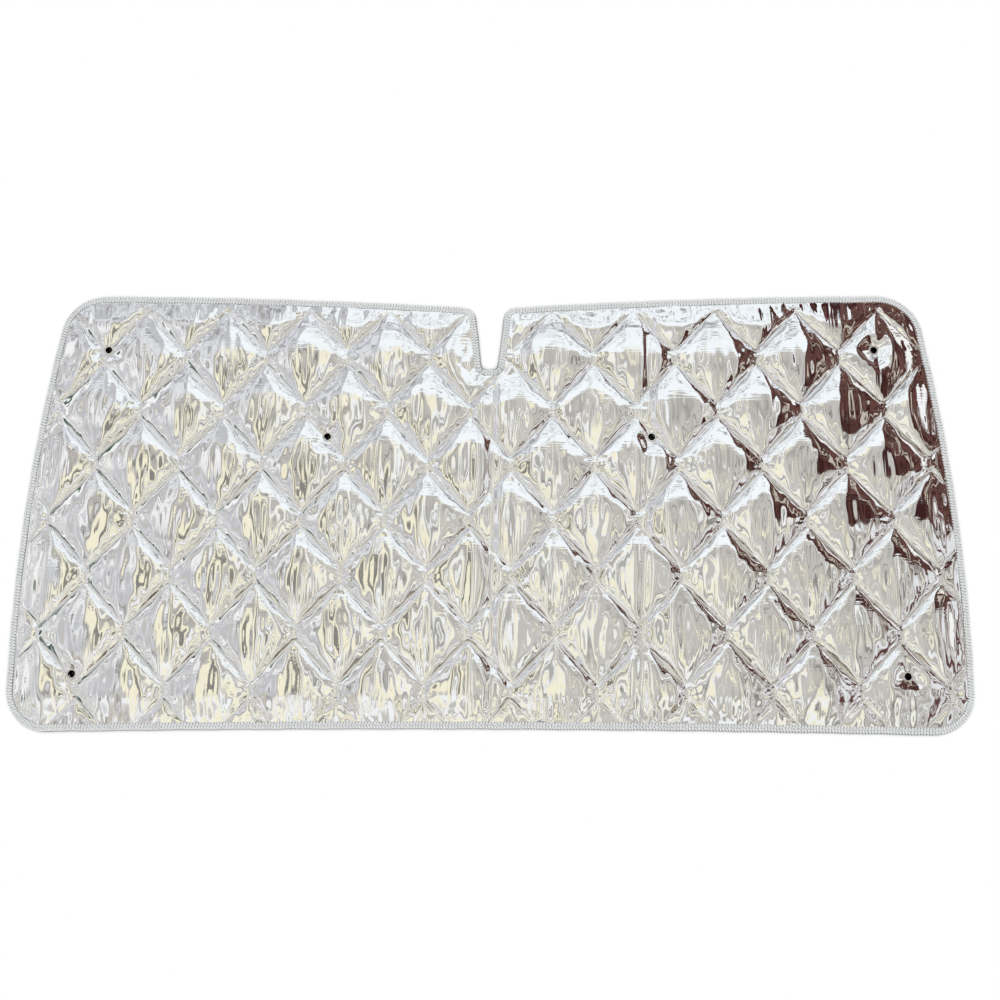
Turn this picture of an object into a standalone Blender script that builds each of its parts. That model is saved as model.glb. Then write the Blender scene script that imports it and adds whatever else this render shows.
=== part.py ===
"""Insulated cab curtain: a quilted, foil-faced blind for a cab windscreen.

The blind lies flat with its foil up. +X runs to the right along its long side, +Y runs to its
top edge, which has the notch for the mirror stem, and +Z points out of the foil. The origin is
under the middle of the whole blind, on the surface that it lies on. All sizes are in metres.
"""

import math

import bmesh
import bpy
from mathutils import Vector
from mathutils.geometry import delaunay_2d_cdt

# Outline of the finished blind, measured to the outer rim of its edge binding
BOTTOM_WIDTH = 1.393
TOP_WIDTH = 1.318
HEIGHT = 0.657
TOP_DIP = 0.021
SIDE_BOW = 0.013
TOP_BOW = 0.004
BOTTOM_BOW = 0.006
BOTTOM_CORNER_RADIUS = 0.060
TOP_CORNER_RADIUS = 0.065

# Notch for the mirror stem
NOTCH_MOUTH_WIDTH = 0.050
NOTCH_FLOOR_WIDTH = 0.0265
NOTCH_DEPTH = 0.099
NOTCH_MOUTH_INNER_RADIUS = 0.0075
NOTCH_FLOOR_RADIUS = 0.007

# Quilting: zigzag rows whose tips come near each other and leave a neck
QUILT_HALF_PITCH = 0.0625
QUILT_ROW_PITCH = 0.0834
QUILT_NECK = 0.0187
QUILT_FIRST_ROW_DROP = 0.0584
QUILT_SIDE_SHIFT = 0.0327
PUFF_RISE = 0.0085
PUFF_EDGE_MARGIN = 0.028
PUFF_LAND_MARGIN = 0.022

# Layers, as they are pressed together at a seam
FOIL_THICKNESS = 0.0004
WADDING_AT_SEAM = 0.0015
LINING_THICKNESS = 0.0005
LAYER_GAP = 0.0003

# Edge binding, a thread edge folded round the layers
BINDING_WIDTH = 0.0085
BINDING_WALL = 0.0011
BINDING_ROUNDING = 0.0008

# Eyelets and the washers behind them
EYELET_BORE = 0.0095
EYELET_WALL = 0.0005
EYELET_FLANGE_WIDTH = 0.0025
EYELET_CROWN = 0.0011
EYELET_LIP_WIDTH = 0.0016
EYELET_LIP_THICKNESS = 0.0005
WASHER_THICKNESS = 0.0005
SEAT_GAP = 0.0003
FLOOR_CLEARANCE = 0.0006
LAND_MARGIN = 0.0015
UPPER_EYELET_INSET = 0.073
UPPER_EYELET_DROP = 0.089
MIDDLE_EYELET_OFFSET = 0.244
MIDDLE_EYELET_DROP = 0.2254
LOWER_EYELET_INSET = 0.0965
LOWER_EYELET_RISE = 0.080

# How finely the forms are divided
CORNER_STEPS = 5
NOTCH_CORNER_STEPS = 4
EDGE_STEP = 0.120
PUFF_STEP = 0.033
ROUND_STEPS = 16
MERGE_DISTANCE = 0.00002

# Sizes that follow from the ones above
STACK_AT_SEAM = FOIL_THICKNESS + WADDING_AT_SEAM + LINING_THICKNESS + 2 * LAYER_GAP
LIP_DEPTH = SEAT_GAP + WASHER_THICKNESS + SEAT_GAP + EYELET_LIP_THICKNESS
BACK_LIFT = LIP_DEPTH + FLOOR_CLEARANCE
SEAM_TOP = BACK_LIFT + STACK_AT_SEAM
ZIGZAG_RISE = (QUILT_ROW_PITCH - QUILT_NECK) / 2
DIAMOND_HEIGHT = QUILT_ROW_PITCH + 2 * ZIGZAG_RISE
FIRST_ROW_Y = HEIGHT - QUILT_FIRST_ROW_DROP
BORE_RADIUS = EYELET_BORE / 2
BARREL_RADIUS = BORE_RADIUS + EYELET_WALL
FLANGE_RADIUS = BARREL_RADIUS + EYELET_FLANGE_WIDTH
LIP_RADIUS = BARREL_RADIUS + EYELET_LIP_WIDTH
HOLE_RADIUS = (BARREL_RADIUS + SEAT_GAP) / math.cos(math.pi / ROUND_STEPS)
LAND_RADIUS = FLANGE_RADIUS + LAND_MARGIN
CUT_EDGE_INSET = BINDING_WALL + SEAT_GAP
QUILT_INSET = BINDING_WIDTH + SEAT_GAP

EYELETS = {
    "upper": (TOP_WIDTH / 2 - UPPER_EYELET_INSET, HEIGHT - UPPER_EYELET_DROP),
    "middle": (MIDDLE_EYELET_OFFSET, HEIGHT - MIDDLE_EYELET_DROP),
    "lower": (BOTTOM_WIDTH / 2 - LOWER_EYELET_INSET, LOWER_EYELET_RISE),
}


# Small helpers


def clear_scene():
    """Remove every object of the open scene."""
    for item in list(bpy.data.objects):
        bpy.data.objects.remove(item)


def make_material(name, colour, roughness, metallic=0.0):
    """Return a Principled material with one colour."""
    material = bpy.data.materials.new(name)
    material.use_nodes = True
    shader = material.node_tree.nodes["Principled BSDF"]
    shader.inputs["Base Color"].default_value = (*colour, 1.0)
    shader.inputs["Roughness"].default_value = roughness
    shader.inputs["Metallic"].default_value = metallic
    return material


def add_object(name, bm, material, smooth_angle):
    """Turn a bmesh into a named, shaded object with its faces pointing out."""
    bmesh.ops.recalc_face_normals(bm, faces=bm.faces)
    mesh = bpy.data.meshes.new(name)
    bm.to_mesh(mesh)
    bm.free()
    mesh.materials.append(material)
    mesh.shade_smooth()
    mesh.set_sharp_from_angle(angle=math.radians(smooth_angle))
    item = bpy.data.objects.new(name, mesh)
    bpy.context.collection.objects.link(item)
    return item


def smoothstep(value):
    """Ease from 0 to 1 with level ends."""
    value = min(max(value, 0.0), 1.0)
    return value * value * (3 - 2 * value)


def side_normal(before, after):
    """Return the unit normal to the left of the way from one point to another."""
    way = (after - before).normalized()
    return Vector((-way.y, way.x))


# Outline


def outline_corners():
    """List the corners, anticlockwise from the lower right, with their radii and arc steps."""
    mouth_y = HEIGHT - TOP_DIP
    floor_y = mouth_y - NOTCH_DEPTH
    mouth_radius = NOTCH_MOUTH_INNER_RADIUS + BINDING_WIDTH
    right = [
        (Vector((BOTTOM_WIDTH / 2, 0)), BOTTOM_CORNER_RADIUS, CORNER_STEPS),
        (Vector((TOP_WIDTH / 2, HEIGHT)), TOP_CORNER_RADIUS, CORNER_STEPS),
        (Vector((NOTCH_MOUTH_WIDTH / 2, mouth_y)), mouth_radius, NOTCH_CORNER_STEPS),
        (Vector((NOTCH_FLOOR_WIDTH / 2, floor_y)), NOTCH_FLOOR_RADIUS, NOTCH_CORNER_STEPS),
    ]
    left = [(Vector((-point.x, point.y)), radius, steps) for point, radius, steps in reversed(right)]
    return right + left


def round_corner(before, corner, after, radius, steps):
    """Return the points of the arc that rounds one corner."""
    to_before = (before - corner).normalized()
    to_after = (after - corner).normalized()
    half_angle = math.acos(to_before.dot(to_after)) / 2
    room = 0.45 * min((before - corner).length, (after - corner).length)
    radius = min(radius, room * math.tan(half_angle))
    reach = radius / math.tan(half_angle)
    centre = corner + (to_before + to_after).normalized() * (radius / math.sin(half_angle))
    first = corner + to_before * reach - centre
    last = corner + to_after * reach - centre
    turn = math.atan2(first.x * last.y - first.y * last.x, first.dot(last))
    points = []
    for step in range(steps + 1):
        angle = turn * step / steps
        swung = Vector((first.x * math.cos(angle) - first.y * math.sin(angle),
                        first.x * math.sin(angle) + first.y * math.cos(angle)))
        points.append(centre + swung)
    return points


def bowed_edge(start, end, bow):
    """Return the points inside one edge, which stands out by its bow at the middle."""
    count = max(1, round((end - start).length / EDGE_STEP))
    outward = -side_normal(start, end)
    points = []
    for step in range(1, count):
        share = step / count
        points.append(start.lerp(end, share) + outward * bow * 4 * share * (1 - share))
    return points


def finished_outline():
    """Return the outer rim of the blind as a closed list of points, anticlockwise."""
    corners = outline_corners()
    bows = [SIDE_BOW, TOP_BOW, 0.0, 0.0, 0.0, TOP_BOW, SIDE_BOW, -BOTTOM_BOW]
    arcs = []
    for index, (corner, radius, steps) in enumerate(corners):
        before = corners[index - 1][0]
        after = corners[(index + 1) % len(corners)][0]
        arcs.append(round_corner(before, corner, after, radius, steps))
    outline = []
    for index, arc in enumerate(arcs):
        following = arcs[(index + 1) % len(arcs)]
        outline += arc + bowed_edge(arc[-1], following[0], bows[index])
    return outline


def inset(outline, distance):
    """Move each point of a closed outline inwards, square to the edges that meet there."""
    moved = []
    for index, point in enumerate(outline):
        before = side_normal(outline[index - 1], point)
        after = side_normal(point, outline[(index + 1) % len(outline)])
        middle = (before + after).normalized()
        moved.append(point + middle * distance / middle.dot(after))
    return moved


def circle(centre, radius):
    """Return the points of a round hole or land, anticlockwise."""
    points = []
    for step in range(ROUND_STEPS):
        angle = 2 * math.pi * step / ROUND_STEPS
        points.append(Vector(centre) + Vector((math.cos(angle), math.sin(angle))) * radius)
    return points


def is_inside(point, outline):
    """Say whether a point lies inside a closed outline."""
    inside = False
    for index, here in enumerate(outline):
        last = outline[index - 1]
        if (here.y > point.y) != (last.y > point.y):
            cross = here.x + (point.y - here.y) * (last.x - here.x) / (last.y - here.y)
            if point.x < cross:
                inside = not inside
    return inside


def distance_to(point, outline):
    """Return how far a point lies from the nearest edge of a closed outline."""
    nearest = math.inf
    for index, here in enumerate(outline):
        last = outline[index - 1]
        run = here - last
        share = min(max((point - last).dot(run) / run.dot(run), 0.0), 1.0)
        nearest = min(nearest, (point - last - run * share).length)
    return nearest


# Quilting


def seam_y(row, x):
    """Return the height on the plan of one zigzag seam; row 0 is the first below the top edge."""
    turns = abs((x - QUILT_SIDE_SHIFT) / QUILT_HALF_PITCH) % 2
    swing = 2 * turns - 1 if turns < 1 else 3 - 2 * turns
    return FIRST_ROW_Y - row * QUILT_ROW_PITCH + ZIGZAG_RISE * swing * (-1) ** row


def puff(point):
    """Return how full the quilting stands at a point, from 0 at a seam to 1 in a diamond."""
    row = math.floor((FIRST_ROW_Y + ZIGZAG_RISE - point.y) / QUILT_ROW_PITCH) - 1
    while seam_y(row + 1, point.x) > point.y:
        row += 1
    upper = seam_y(row, point.x)
    lower = seam_y(row + 1, point.x)
    span = upper - lower
    share = min(max((upper - point.y) / span, 0.0), 1.0)
    return math.sin(math.pi * share) ** 0.7 * (span / DIAMOND_HEIGHT) ** 0.6


class Plan:
    """The blind seen from above: its cut edge, its holes and where its quilting lies."""

    def __init__(self):
        rim = finished_outline()
        middle_y = (min(point.y for point in rim) + max(point.y for point in rim)) / 2
        self.shift = Vector((0.0, -middle_y))
        self.rim = rim
        self.cut_edge = inset(rim, CUT_EDGE_INSET)
        self.quilt_edge = inset(rim, QUILT_INSET)
        self.eyelets = [Vector((side * x, y)) for x, y in EYELETS.values() for side in (-1, 1)]

    def fullness(self, point):
        """Return the puff of the quilting, pressed flat at the binding and round the eyelets."""
        if not is_inside(point, self.quilt_edge):
            return 0.0
        value = puff(point) * smoothstep(distance_to(point, self.quilt_edge) / PUFF_EDGE_MARGIN)
        for centre in self.eyelets:
            clear = (point - centre).length - LAND_RADIUS
            value *= smoothstep(clear / PUFF_LAND_MARGIN)
        return value

    def has_room(self, point, margin):
        """Say whether a point lies in the open quilting, clear of the binding and the lands."""
        if not is_inside(point, self.quilt_edge):
            return False
        if distance_to(point, self.quilt_edge) < margin:
            return False
        return all((point - centre).length > LAND_RADIUS + margin for centre in self.eyelets)

    def seam_corners(self):
        """Return each zigzag row as the list of its tips, run past both sides of the blind."""
        reach = math.ceil(BOTTOM_WIDTH / 2 / QUILT_HALF_PITCH) + 2
        last_row = math.ceil(HEIGHT / QUILT_ROW_PITCH) + 1
        rows = []
        for row in range(-1, last_row):
            tips = []
            for step in range(-reach, reach + 1):
                x = QUILT_SIDE_SHIFT + step * QUILT_HALF_PITCH
                tips.append(Vector((x, seam_y(row, x))))
            rows.append(tips)
        return rows

    def face_points(self):
        """Return the points that shape the puffed face, in columns between the seams."""
        points = []
        for upper, lower in zip(self.seam_corners(), self.seam_corners()[1:]):
            for index, tip in enumerate(upper[:-1]):
                for share in (0.0, 0.5):
                    top = tip.lerp(upper[index + 1], share)
                    bottom = lower[index].lerp(lower[index + 1], share)
                    count = max(1, round((top - bottom).length / PUFF_STEP))
                    points += [top.lerp(bottom, step / count) for step in range(1, count)]
                    if share > 0:
                        points.append(top)
        return [point for point in points if self.has_room(point, PUFF_STEP / 4)]

    def back_points(self):
        """Return the four points of the flat patch that each diamond rests on."""
        half_width = 0.35 * QUILT_HALF_PITCH
        half_height = 0.20 * DIAMOND_HEIGHT
        patch = [Vector((half_width, 0)), Vector((0, half_height)),
                 Vector((-half_width, 0)), Vector((0, -half_height))]
        points = []
        for upper, lower in zip(self.seam_corners(), self.seam_corners()[1:]):
            for top, bottom in zip(upper, lower):
                if top.y - bottom.y > QUILT_ROW_PITCH:
                    middle = top.lerp(bottom, 0.5)
                    points += [middle + offset for offset in patch]
        return [point for point in points if self.has_room(point, PUFF_STEP / 4)]

    def divide(self, inner_points):
        """Divide the cut layer into triangles that follow its edges, holes and seams."""
        points = []
        edges = []

        def add_chain(chain, closed):
            first = len(points)
            points.extend(chain)
            edges.extend((first + step, first + step + 1) for step in range(len(chain) - 1))
            if closed:
                edges.append((first + len(chain) - 1, first))

        add_chain(self.cut_edge, True)
        add_chain(self.quilt_edge, True)
        for centre in self.eyelets:
            add_chain(circle(centre, HOLE_RADIUS), True)
            add_chain(circle(centre, LAND_RADIUS), True)
        for tips in self.seam_corners():
            add_chain(tips, False)
        points.extend(inner_points)
        corners, _, faces, _, _, _ = delaunay_2d_cdt(points, edges, [], 0, MERGE_DISTANCE, False)
        kept = [face for face in faces if self.is_material(corners, face)]
        return corners, kept

    def is_material(self, corners, face):
        """Say whether a triangle is cloth, and not outside the cut edge or in a hole."""
        middle = sum((corners[index] for index in face), Vector((0.0, 0.0))) / len(face)
        hole = HOLE_RADIUS * math.cos(math.pi / ROUND_STEPS)
        if any((middle - centre).length < hole for centre in self.eyelets):
            return False
        return is_inside(middle, self.cut_edge)


# Layers


def face_height(fullness):
    """Return the height of the foil's outer face."""
    return SEAM_TOP + PUFF_RISE * fullness


def back_height(fullness):
    """Return the height of the lining's outer face, which lies flat under a full diamond."""
    flat_from = 0.75
    return BACK_LIFT * (1 - min(1.0, fullness / flat_from))


def add_skin(bm, plan, division, height, upward):
    """Add one face of a layer and return its corners by place and its border."""
    corners, faces = division
    used = sorted({index for face in faces for index in face})
    made = {}
    for index in used:
        point = corners[index]
        place = point + plan.shift
        made[index] = bm.verts.new((place.x, place.y, height(plan.fullness(point))))
    sides = set()
    for face in faces:
        order = face if upward else list(reversed(face))
        bm.faces.new([made[index] for index in order])
        sides.update((face[step - 1], face[step]) for step in range(len(face)))
    border = [side for side in sides if (side[1], side[0]) not in sides]
    return made, border


def place_key(vert):
    """Return a corner's place on the plan, to the hundredth of a millimetre."""
    return (round(vert.co.x, 5), round(vert.co.y, 5))


def add_layer(name, plan, top, bottom, material):
    """Build one cut layer from the division and height of its two faces."""
    bm = bmesh.new()
    upper, border = add_skin(bm, plan, *top, upward=True)
    lower, lower_border = add_skin(bm, plan, *bottom, upward=False)
    below = {place_key(lower[index]): lower[index] for side in lower_border for index in side}
    for start, end in border:
        wall = [upper[end], upper[start], below[place_key(upper[start])], below[place_key(upper[end])]]
        bm.faces.new(wall)
    return add_object(name, bm, material, smooth_angle=35)


def add_layers(plan):
    """Build the foil, the wadding and the lining."""
    face = plan.divide(plan.face_points())
    back = plan.divide(plan.back_points())
    foil_under = FOIL_THICKNESS
    wadding_top = FOIL_THICKNESS + LAYER_GAP
    wadding_under = LINING_THICKNESS + LAYER_GAP
    add_layer("foil_face", plan,
              (face, face_height),
              (face, lambda fullness: face_height(fullness) - foil_under),
              make_material("aluminised_film", (0.86, 0.87, 0.88), 0.18, metallic=1.0))
    add_layer("wadding", plan,
              (face, lambda fullness: face_height(fullness) - wadding_top),
              (back, lambda fullness: back_height(fullness) + wadding_under),
              make_material("polyester_wadding", (0.85, 0.85, 0.83), 0.95))
    add_layer("lining", plan,
              (back, lambda fullness: back_height(fullness) + LINING_THICKNESS),
              (back, back_height),
              make_material("woven_lining", (0.36, 0.37, 0.39), 0.9))


# Edge binding


def add_binding(plan):
    """Fold the thread edge round the layers and carry it along the whole outline."""
    top = SEAM_TOP + SEAT_GAP + BINDING_WALL
    bottom = BACK_LIFT - SEAT_GAP - BINDING_WALL
    section = [
        (BINDING_WIDTH, top),
        (BINDING_ROUNDING, top),
        (0.0, top - BINDING_ROUNDING),
        (0.0, bottom + BINDING_ROUNDING),
        (BINDING_ROUNDING, bottom),
        (BINDING_WIDTH, bottom),
        (BINDING_WIDTH, bottom + BINDING_WALL),
        (BINDING_WALL, bottom + BINDING_WALL),
        (BINDING_WALL, top - BINDING_WALL),
        (BINDING_WIDTH, top - BINDING_WALL),
    ]
    bm = bmesh.new()
    rings = []
    for depth, height in section:
        ring = [point + plan.shift for point in inset(plan.rim, depth)]
        rings.append([bm.verts.new((point.x, point.y, height)) for point in ring])
    for index, ring in enumerate(rings):
        other = rings[index - 1]
        for step in range(len(ring)):
            bm.faces.new([other[step - 1], other[step], ring[step], ring[step - 1]])
    material = make_material("binding_thread", (0.88, 0.88, 0.87), 0.8)
    return add_object("edge_binding", bm, material, smooth_angle=50)


# Eyelets


def turned_mesh(name, profile, material):
    """Turn a closed profile of radius and height points about +Z and return its mesh."""
    bm = bmesh.new()
    verts = [bm.verts.new((radius, 0.0, height)) for radius, height in profile]
    edges = [bm.edges.new((verts[index - 1], verts[index])) for index in range(len(verts))]
    bmesh.ops.spin(bm, geom=verts + edges, cent=(0, 0, 0), axis=(0, 0, 1),
                   angle=2 * math.pi, steps=ROUND_STEPS, use_merge=True)
    bmesh.ops.remove_doubles(bm, verts=bm.verts, dist=MERGE_DISTANCE)
    bmesh.ops.recalc_face_normals(bm, faces=bm.faces)
    mesh = bpy.data.meshes.new(name)
    bm.to_mesh(mesh)
    bm.free()
    mesh.materials.append(material)
    mesh.shade_smooth()
    mesh.set_sharp_from_angle(angle=math.radians(40))
    return mesh


def eyelet_profile():
    """Return the eyelet's section: crowned flange, barrel, and lip rolled out under the washer."""
    seat = SEAM_TOP + SEAT_GAP
    crown = seat + EYELET_CROWN
    lip_top = BACK_LIFT - SEAT_GAP - WASHER_THICKNESS - SEAT_GAP
    lip_bottom = lip_top - EYELET_LIP_THICKNESS
    return [
        (BORE_RADIUS, lip_bottom),
        (BORE_RADIUS, seat + EYELET_CROWN / 2),
        (BARREL_RADIUS, crown),
        (FLANGE_RADIUS - EYELET_FLANGE_WIDTH / 4, crown),
        (FLANGE_RADIUS, seat),
        (BARREL_RADIUS, seat),
        (BARREL_RADIUS, lip_top),
        (LIP_RADIUS, lip_top),
    ]


def washer_profile():
    """Return the section of the flat washer on the back."""
    top = BACK_LIFT - SEAT_GAP
    bottom = top - WASHER_THICKNESS
    return [(HOLE_RADIUS, bottom), (HOLE_RADIUS, top), (FLANGE_RADIUS, top), (FLANGE_RADIUS, bottom)]


def add_eyelets(plan):
    """Set an eyelet and its washer at each place, in pairs from the top down."""
    nickel = make_material("nickel_plate", (0.72, 0.70, 0.66), 0.22, metallic=1.0)
    eyelet = turned_mesh("eyelet", eyelet_profile(), nickel)
    washer = turned_mesh("eyelet_washer", washer_profile(), nickel)
    for pair, (x, y) in EYELETS.items():
        for side, name in ((-1, "left"), (1, "right")):
            place = Vector((side * x, y)) + plan.shift
            for kind, mesh in (("eyelet", eyelet), ("eyelet_washer", washer)):
                item = bpy.data.objects.new(f"{kind}_{pair}_{name}", mesh)
                item.location = (place.x, place.y, 0.0)
                bpy.context.collection.objects.link(item)


def main():
    """Build the whole blind."""
    clear_scene()
    plan = Plan()
    add_layers(plan)
    add_binding(plan)
    add_eyelets(plan)


main()
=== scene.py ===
"""Looks of the insulated cab curtain: a quilted, foil-faced blind that lies flat on a pale floor."""

import logging
import math
from dataclasses import dataclass, field
from enum import Enum
from typing import Sequence

import bpy
import numpy as np
from mathutils import Matrix, Vector


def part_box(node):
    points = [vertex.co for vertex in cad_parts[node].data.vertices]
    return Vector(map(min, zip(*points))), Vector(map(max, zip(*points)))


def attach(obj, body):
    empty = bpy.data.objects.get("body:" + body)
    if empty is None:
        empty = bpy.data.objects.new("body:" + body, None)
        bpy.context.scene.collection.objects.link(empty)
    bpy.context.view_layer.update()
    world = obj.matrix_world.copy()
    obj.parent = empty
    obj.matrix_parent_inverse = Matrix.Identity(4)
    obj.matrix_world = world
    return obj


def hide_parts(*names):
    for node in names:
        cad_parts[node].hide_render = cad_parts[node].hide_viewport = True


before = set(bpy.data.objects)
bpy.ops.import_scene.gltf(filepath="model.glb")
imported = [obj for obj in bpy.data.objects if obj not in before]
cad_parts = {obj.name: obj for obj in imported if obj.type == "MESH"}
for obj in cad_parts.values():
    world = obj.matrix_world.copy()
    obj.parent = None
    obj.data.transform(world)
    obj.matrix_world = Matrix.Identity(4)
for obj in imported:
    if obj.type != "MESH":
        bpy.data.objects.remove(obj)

LOG = logging.getLogger("cab_curtain")
BODY = "root"
WHITE = (1.0, 1.0, 1.0, 1.0)
UP = np.array([0.0, 0.0, 1.0])
TINY = 1e-12

Array = np.ndarray


class Place(Enum):
    """The six eyelets, named as the CAD nodes name them."""

    UPPER_LEFT = "upper_left"
    UPPER_RIGHT = "upper_right"
    MIDDLE_LEFT = "middle_left"
    MIDDLE_RIGHT = "middle_right"
    LOWER_LEFT = "lower_left"
    LOWER_RIGHT = "lower_right"

    @property
    def centre(self) -> Array:
        """Return the eyelet's centre on the plan, from the CAD node's box."""
        low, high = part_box(f"eyelet_{self.value}")
        return np.array([(low.x + high.x) / 2, (low.y + high.y) / 2])


class Side(Enum):
    """The two faces of the blind."""

    FACE = 1
    BACK = -1


# Mesh helpers


def ease(value: Array | float) -> Array | float:
    """Ease from 0 to 1 with level ends.

    Args:
        value: Share of the way, clipped to 0 to 1.

    Returns:
        The eased share.
    """
    value = np.clip(value, 0.0, 1.0)
    return value * value * (3 - 2 * value)


def mesh_object(name: str, verts: Array, faces: Sequence[Sequence[int]], smooth: bool = True) -> bpy.types.Object:
    """Make a linked mesh object.

    Args:
        name: The piece's name.
        verts: Corner positions in metres, one row each.
        faces: Corner numbers of each face.
        smooth: Whether the faces are shaded smooth.

    Returns:
        The new object.
    """
    mesh = bpy.data.meshes.new(name)
    mesh.from_pydata([tuple(row) for row in np.asarray(verts, dtype=float)], [],
                     [tuple(int(corner) for corner in face) for face in faces])
    mesh.update()
    if smooth:
        mesh.shade_smooth()
    piece = bpy.data.objects.new(name, mesh)
    bpy.context.collection.objects.link(piece)
    return piece


def dress(piece: bpy.types.Object, material: bpy.types.Material) -> None:
    """Give a piece its one material.

    Args:
        piece: The object to dress.
        material: The material that replaces whatever it had.
    """
    piece.data.materials.clear()
    piece.data.materials.append(material)


def enter(piece: bpy.types.Object, material: bpy.types.Material, stands_for: str = "") -> None:
    """Dress a piece and enter it in the frame.

    Args:
        piece: The object.
        material: Its one material.
        stands_for: The CAD node it takes the place of, if any.
    """
    dress(piece, material)
    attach(piece, BODY)
    if stands_for:
        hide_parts(stands_for)


def rectangle(name: str, width: float, height: float) -> bpy.types.Object:
    """Return a level rectangle about its own origin."""
    x, y = width / 2, height / 2
    return mesh_object(name, [(-x, -y, 0), (x, -y, 0), (x, y, 0), (-x, y, 0)], [(0, 1, 2, 3)], False)


def apply_modifiers(piece: bpy.types.Object) -> None:
    """Replace a piece's mesh by its evaluated one and drop its modifiers and shape keys.

    Args:
        piece: The object.
    """
    graph = bpy.context.evaluated_depsgraph_get()
    graph.update()
    made = bpy.data.meshes.new_from_object(piece.evaluated_get(graph))
    made.name = piece.name
    piece.modifiers.clear()
    if piece.data.shape_keys:
        piece.shape_key_clear()
    piece.data = made


def positions(mesh: bpy.types.Mesh) -> Array:
    """Return a mesh's corner positions, one row each."""
    flat = np.empty(len(mesh.vertices) * 3)
    mesh.vertices.foreach_get("co", flat)
    return flat.reshape(-1, 3)


def set_positions(mesh: bpy.types.Mesh, verts: Array) -> None:
    """Write a mesh's corner positions back."""
    mesh.vertices.foreach_set("co", np.asarray(verts, dtype=float).ravel())
    mesh.update()


def tubes(paths: Array, side_way: Array, radius: float | Array, sides: int) -> tuple[Array, list]:
    """Sweep a round thread along many short paths at once.

    Args:
        paths: Points of each path, shaped paths x points x 3.
        side_way: A direction that the paths never run along, one for all or one for each path.
        radius: Thread radius in metres, one for all or one for each point of a path.
        sides: Corners round the thread.

    Returns:
        The corner positions and the faces, end caps included.
    """
    count, points, _ = paths.shape
    run = np.gradient(paths, axis=1)
    run /= np.linalg.norm(run, axis=2, keepdims=True) + TINY
    across = np.atleast_2d(side_way)[:, None, :]
    across = across - (across * run).sum(axis=2, keepdims=True) * run
    across /= np.linalg.norm(across, axis=2, keepdims=True) + TINY
    rise = np.cross(run, across)
    turn = np.linspace(0, 2 * math.pi, sides, endpoint=False)
    thick = np.broadcast_to(np.asarray(radius, dtype=float), (points,))[None, :, None, None]
    ring = (across[:, :, None, :] * np.cos(turn)[None, None, :, None]
            + rise[:, :, None, :] * np.sin(turn)[None, None, :, None])
    verts = (paths[:, :, None, :] + ring * thick).reshape(-1, 3)
    corner = np.arange(sides)
    start = np.arange(count) * points * sides
    rings = start[:, None, None] + (np.arange(points - 1) * sides)[None, :, None]
    here, after = rings + corner, rings + (corner + 1) % sides
    walls = np.stack([here, after, after + sides, here + sides], axis=-1).reshape(-1, 4)
    caps = np.stack([start[:, None] + corner[::-1], start[:, None] + (points - 1) * sides + corner], axis=1)
    return verts, walls.tolist() + caps.reshape(-1, sides).tolist()


def ring_faces(rings: int, corners: int) -> list:
    """Return the faces that join rings of corners, each to the next and the last to the first.

    Args:
        rings: How many rings there are.
        corners: Corners in each ring.

    Returns:
        Four corner numbers for each face.
    """
    ring, corner = np.arange(rings)[:, None], np.arange(corners)
    here, after = ring * corners, (ring + 1) % rings * corners
    ahead = (corner + 1) % corners
    return np.stack([here + corner, here + ahead, after + ahead, after + corner], axis=-1).reshape(-1, 4).tolist()


@dataclass(frozen=True)
class Ripple:
    """Smooth seeded noise over the plan, stretched along one axis."""

    across: float
    along: float
    seed: int
    tile: int = 128
    origin: float = 50.5
    sharpness: float = 2.4

    def value(self, x: Array, y: Array) -> Array:
        """Return the noise, about -0.7 to 0.7.

        Args:
            x: Places along the blind.
            y: Places up the blind.

        Returns:
            One value for each place.
        """
        angle = np.random.default_rng(self.seed).random((self.tile, self.tile)) * 2 * math.pi
        u, v = np.asarray(x) * self.across + self.origin, np.asarray(y) * self.along + self.origin
        column, row = np.floor(u).astype(int), np.floor(v).astype(int)
        u, v = u - column, v - row
        corners = []
        for right in (0, 1):
            for up in (0, 1):
                turn = angle[(column + right) % self.tile, (row + up) % self.tile]
                corners.append(np.cos(turn) * (u - right) + np.sin(turn) * (v - up))
        share_u, share_v = ease(u), ease(v)
        left = corners[0] + (corners[1] - corners[0]) * share_v
        right = corners[2] + (corners[3] - corners[2]) * share_v
        return left + (right - left) * share_u

    def ridge(self, x: Array, y: Array) -> Array:
        """Return sharp-crested noise, 0 in the troughs and 1 on the crests."""
        return 1 - np.minimum(np.abs(self.value(x, y)) * self.sharpness, 1)


# Plan of the blind


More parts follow.
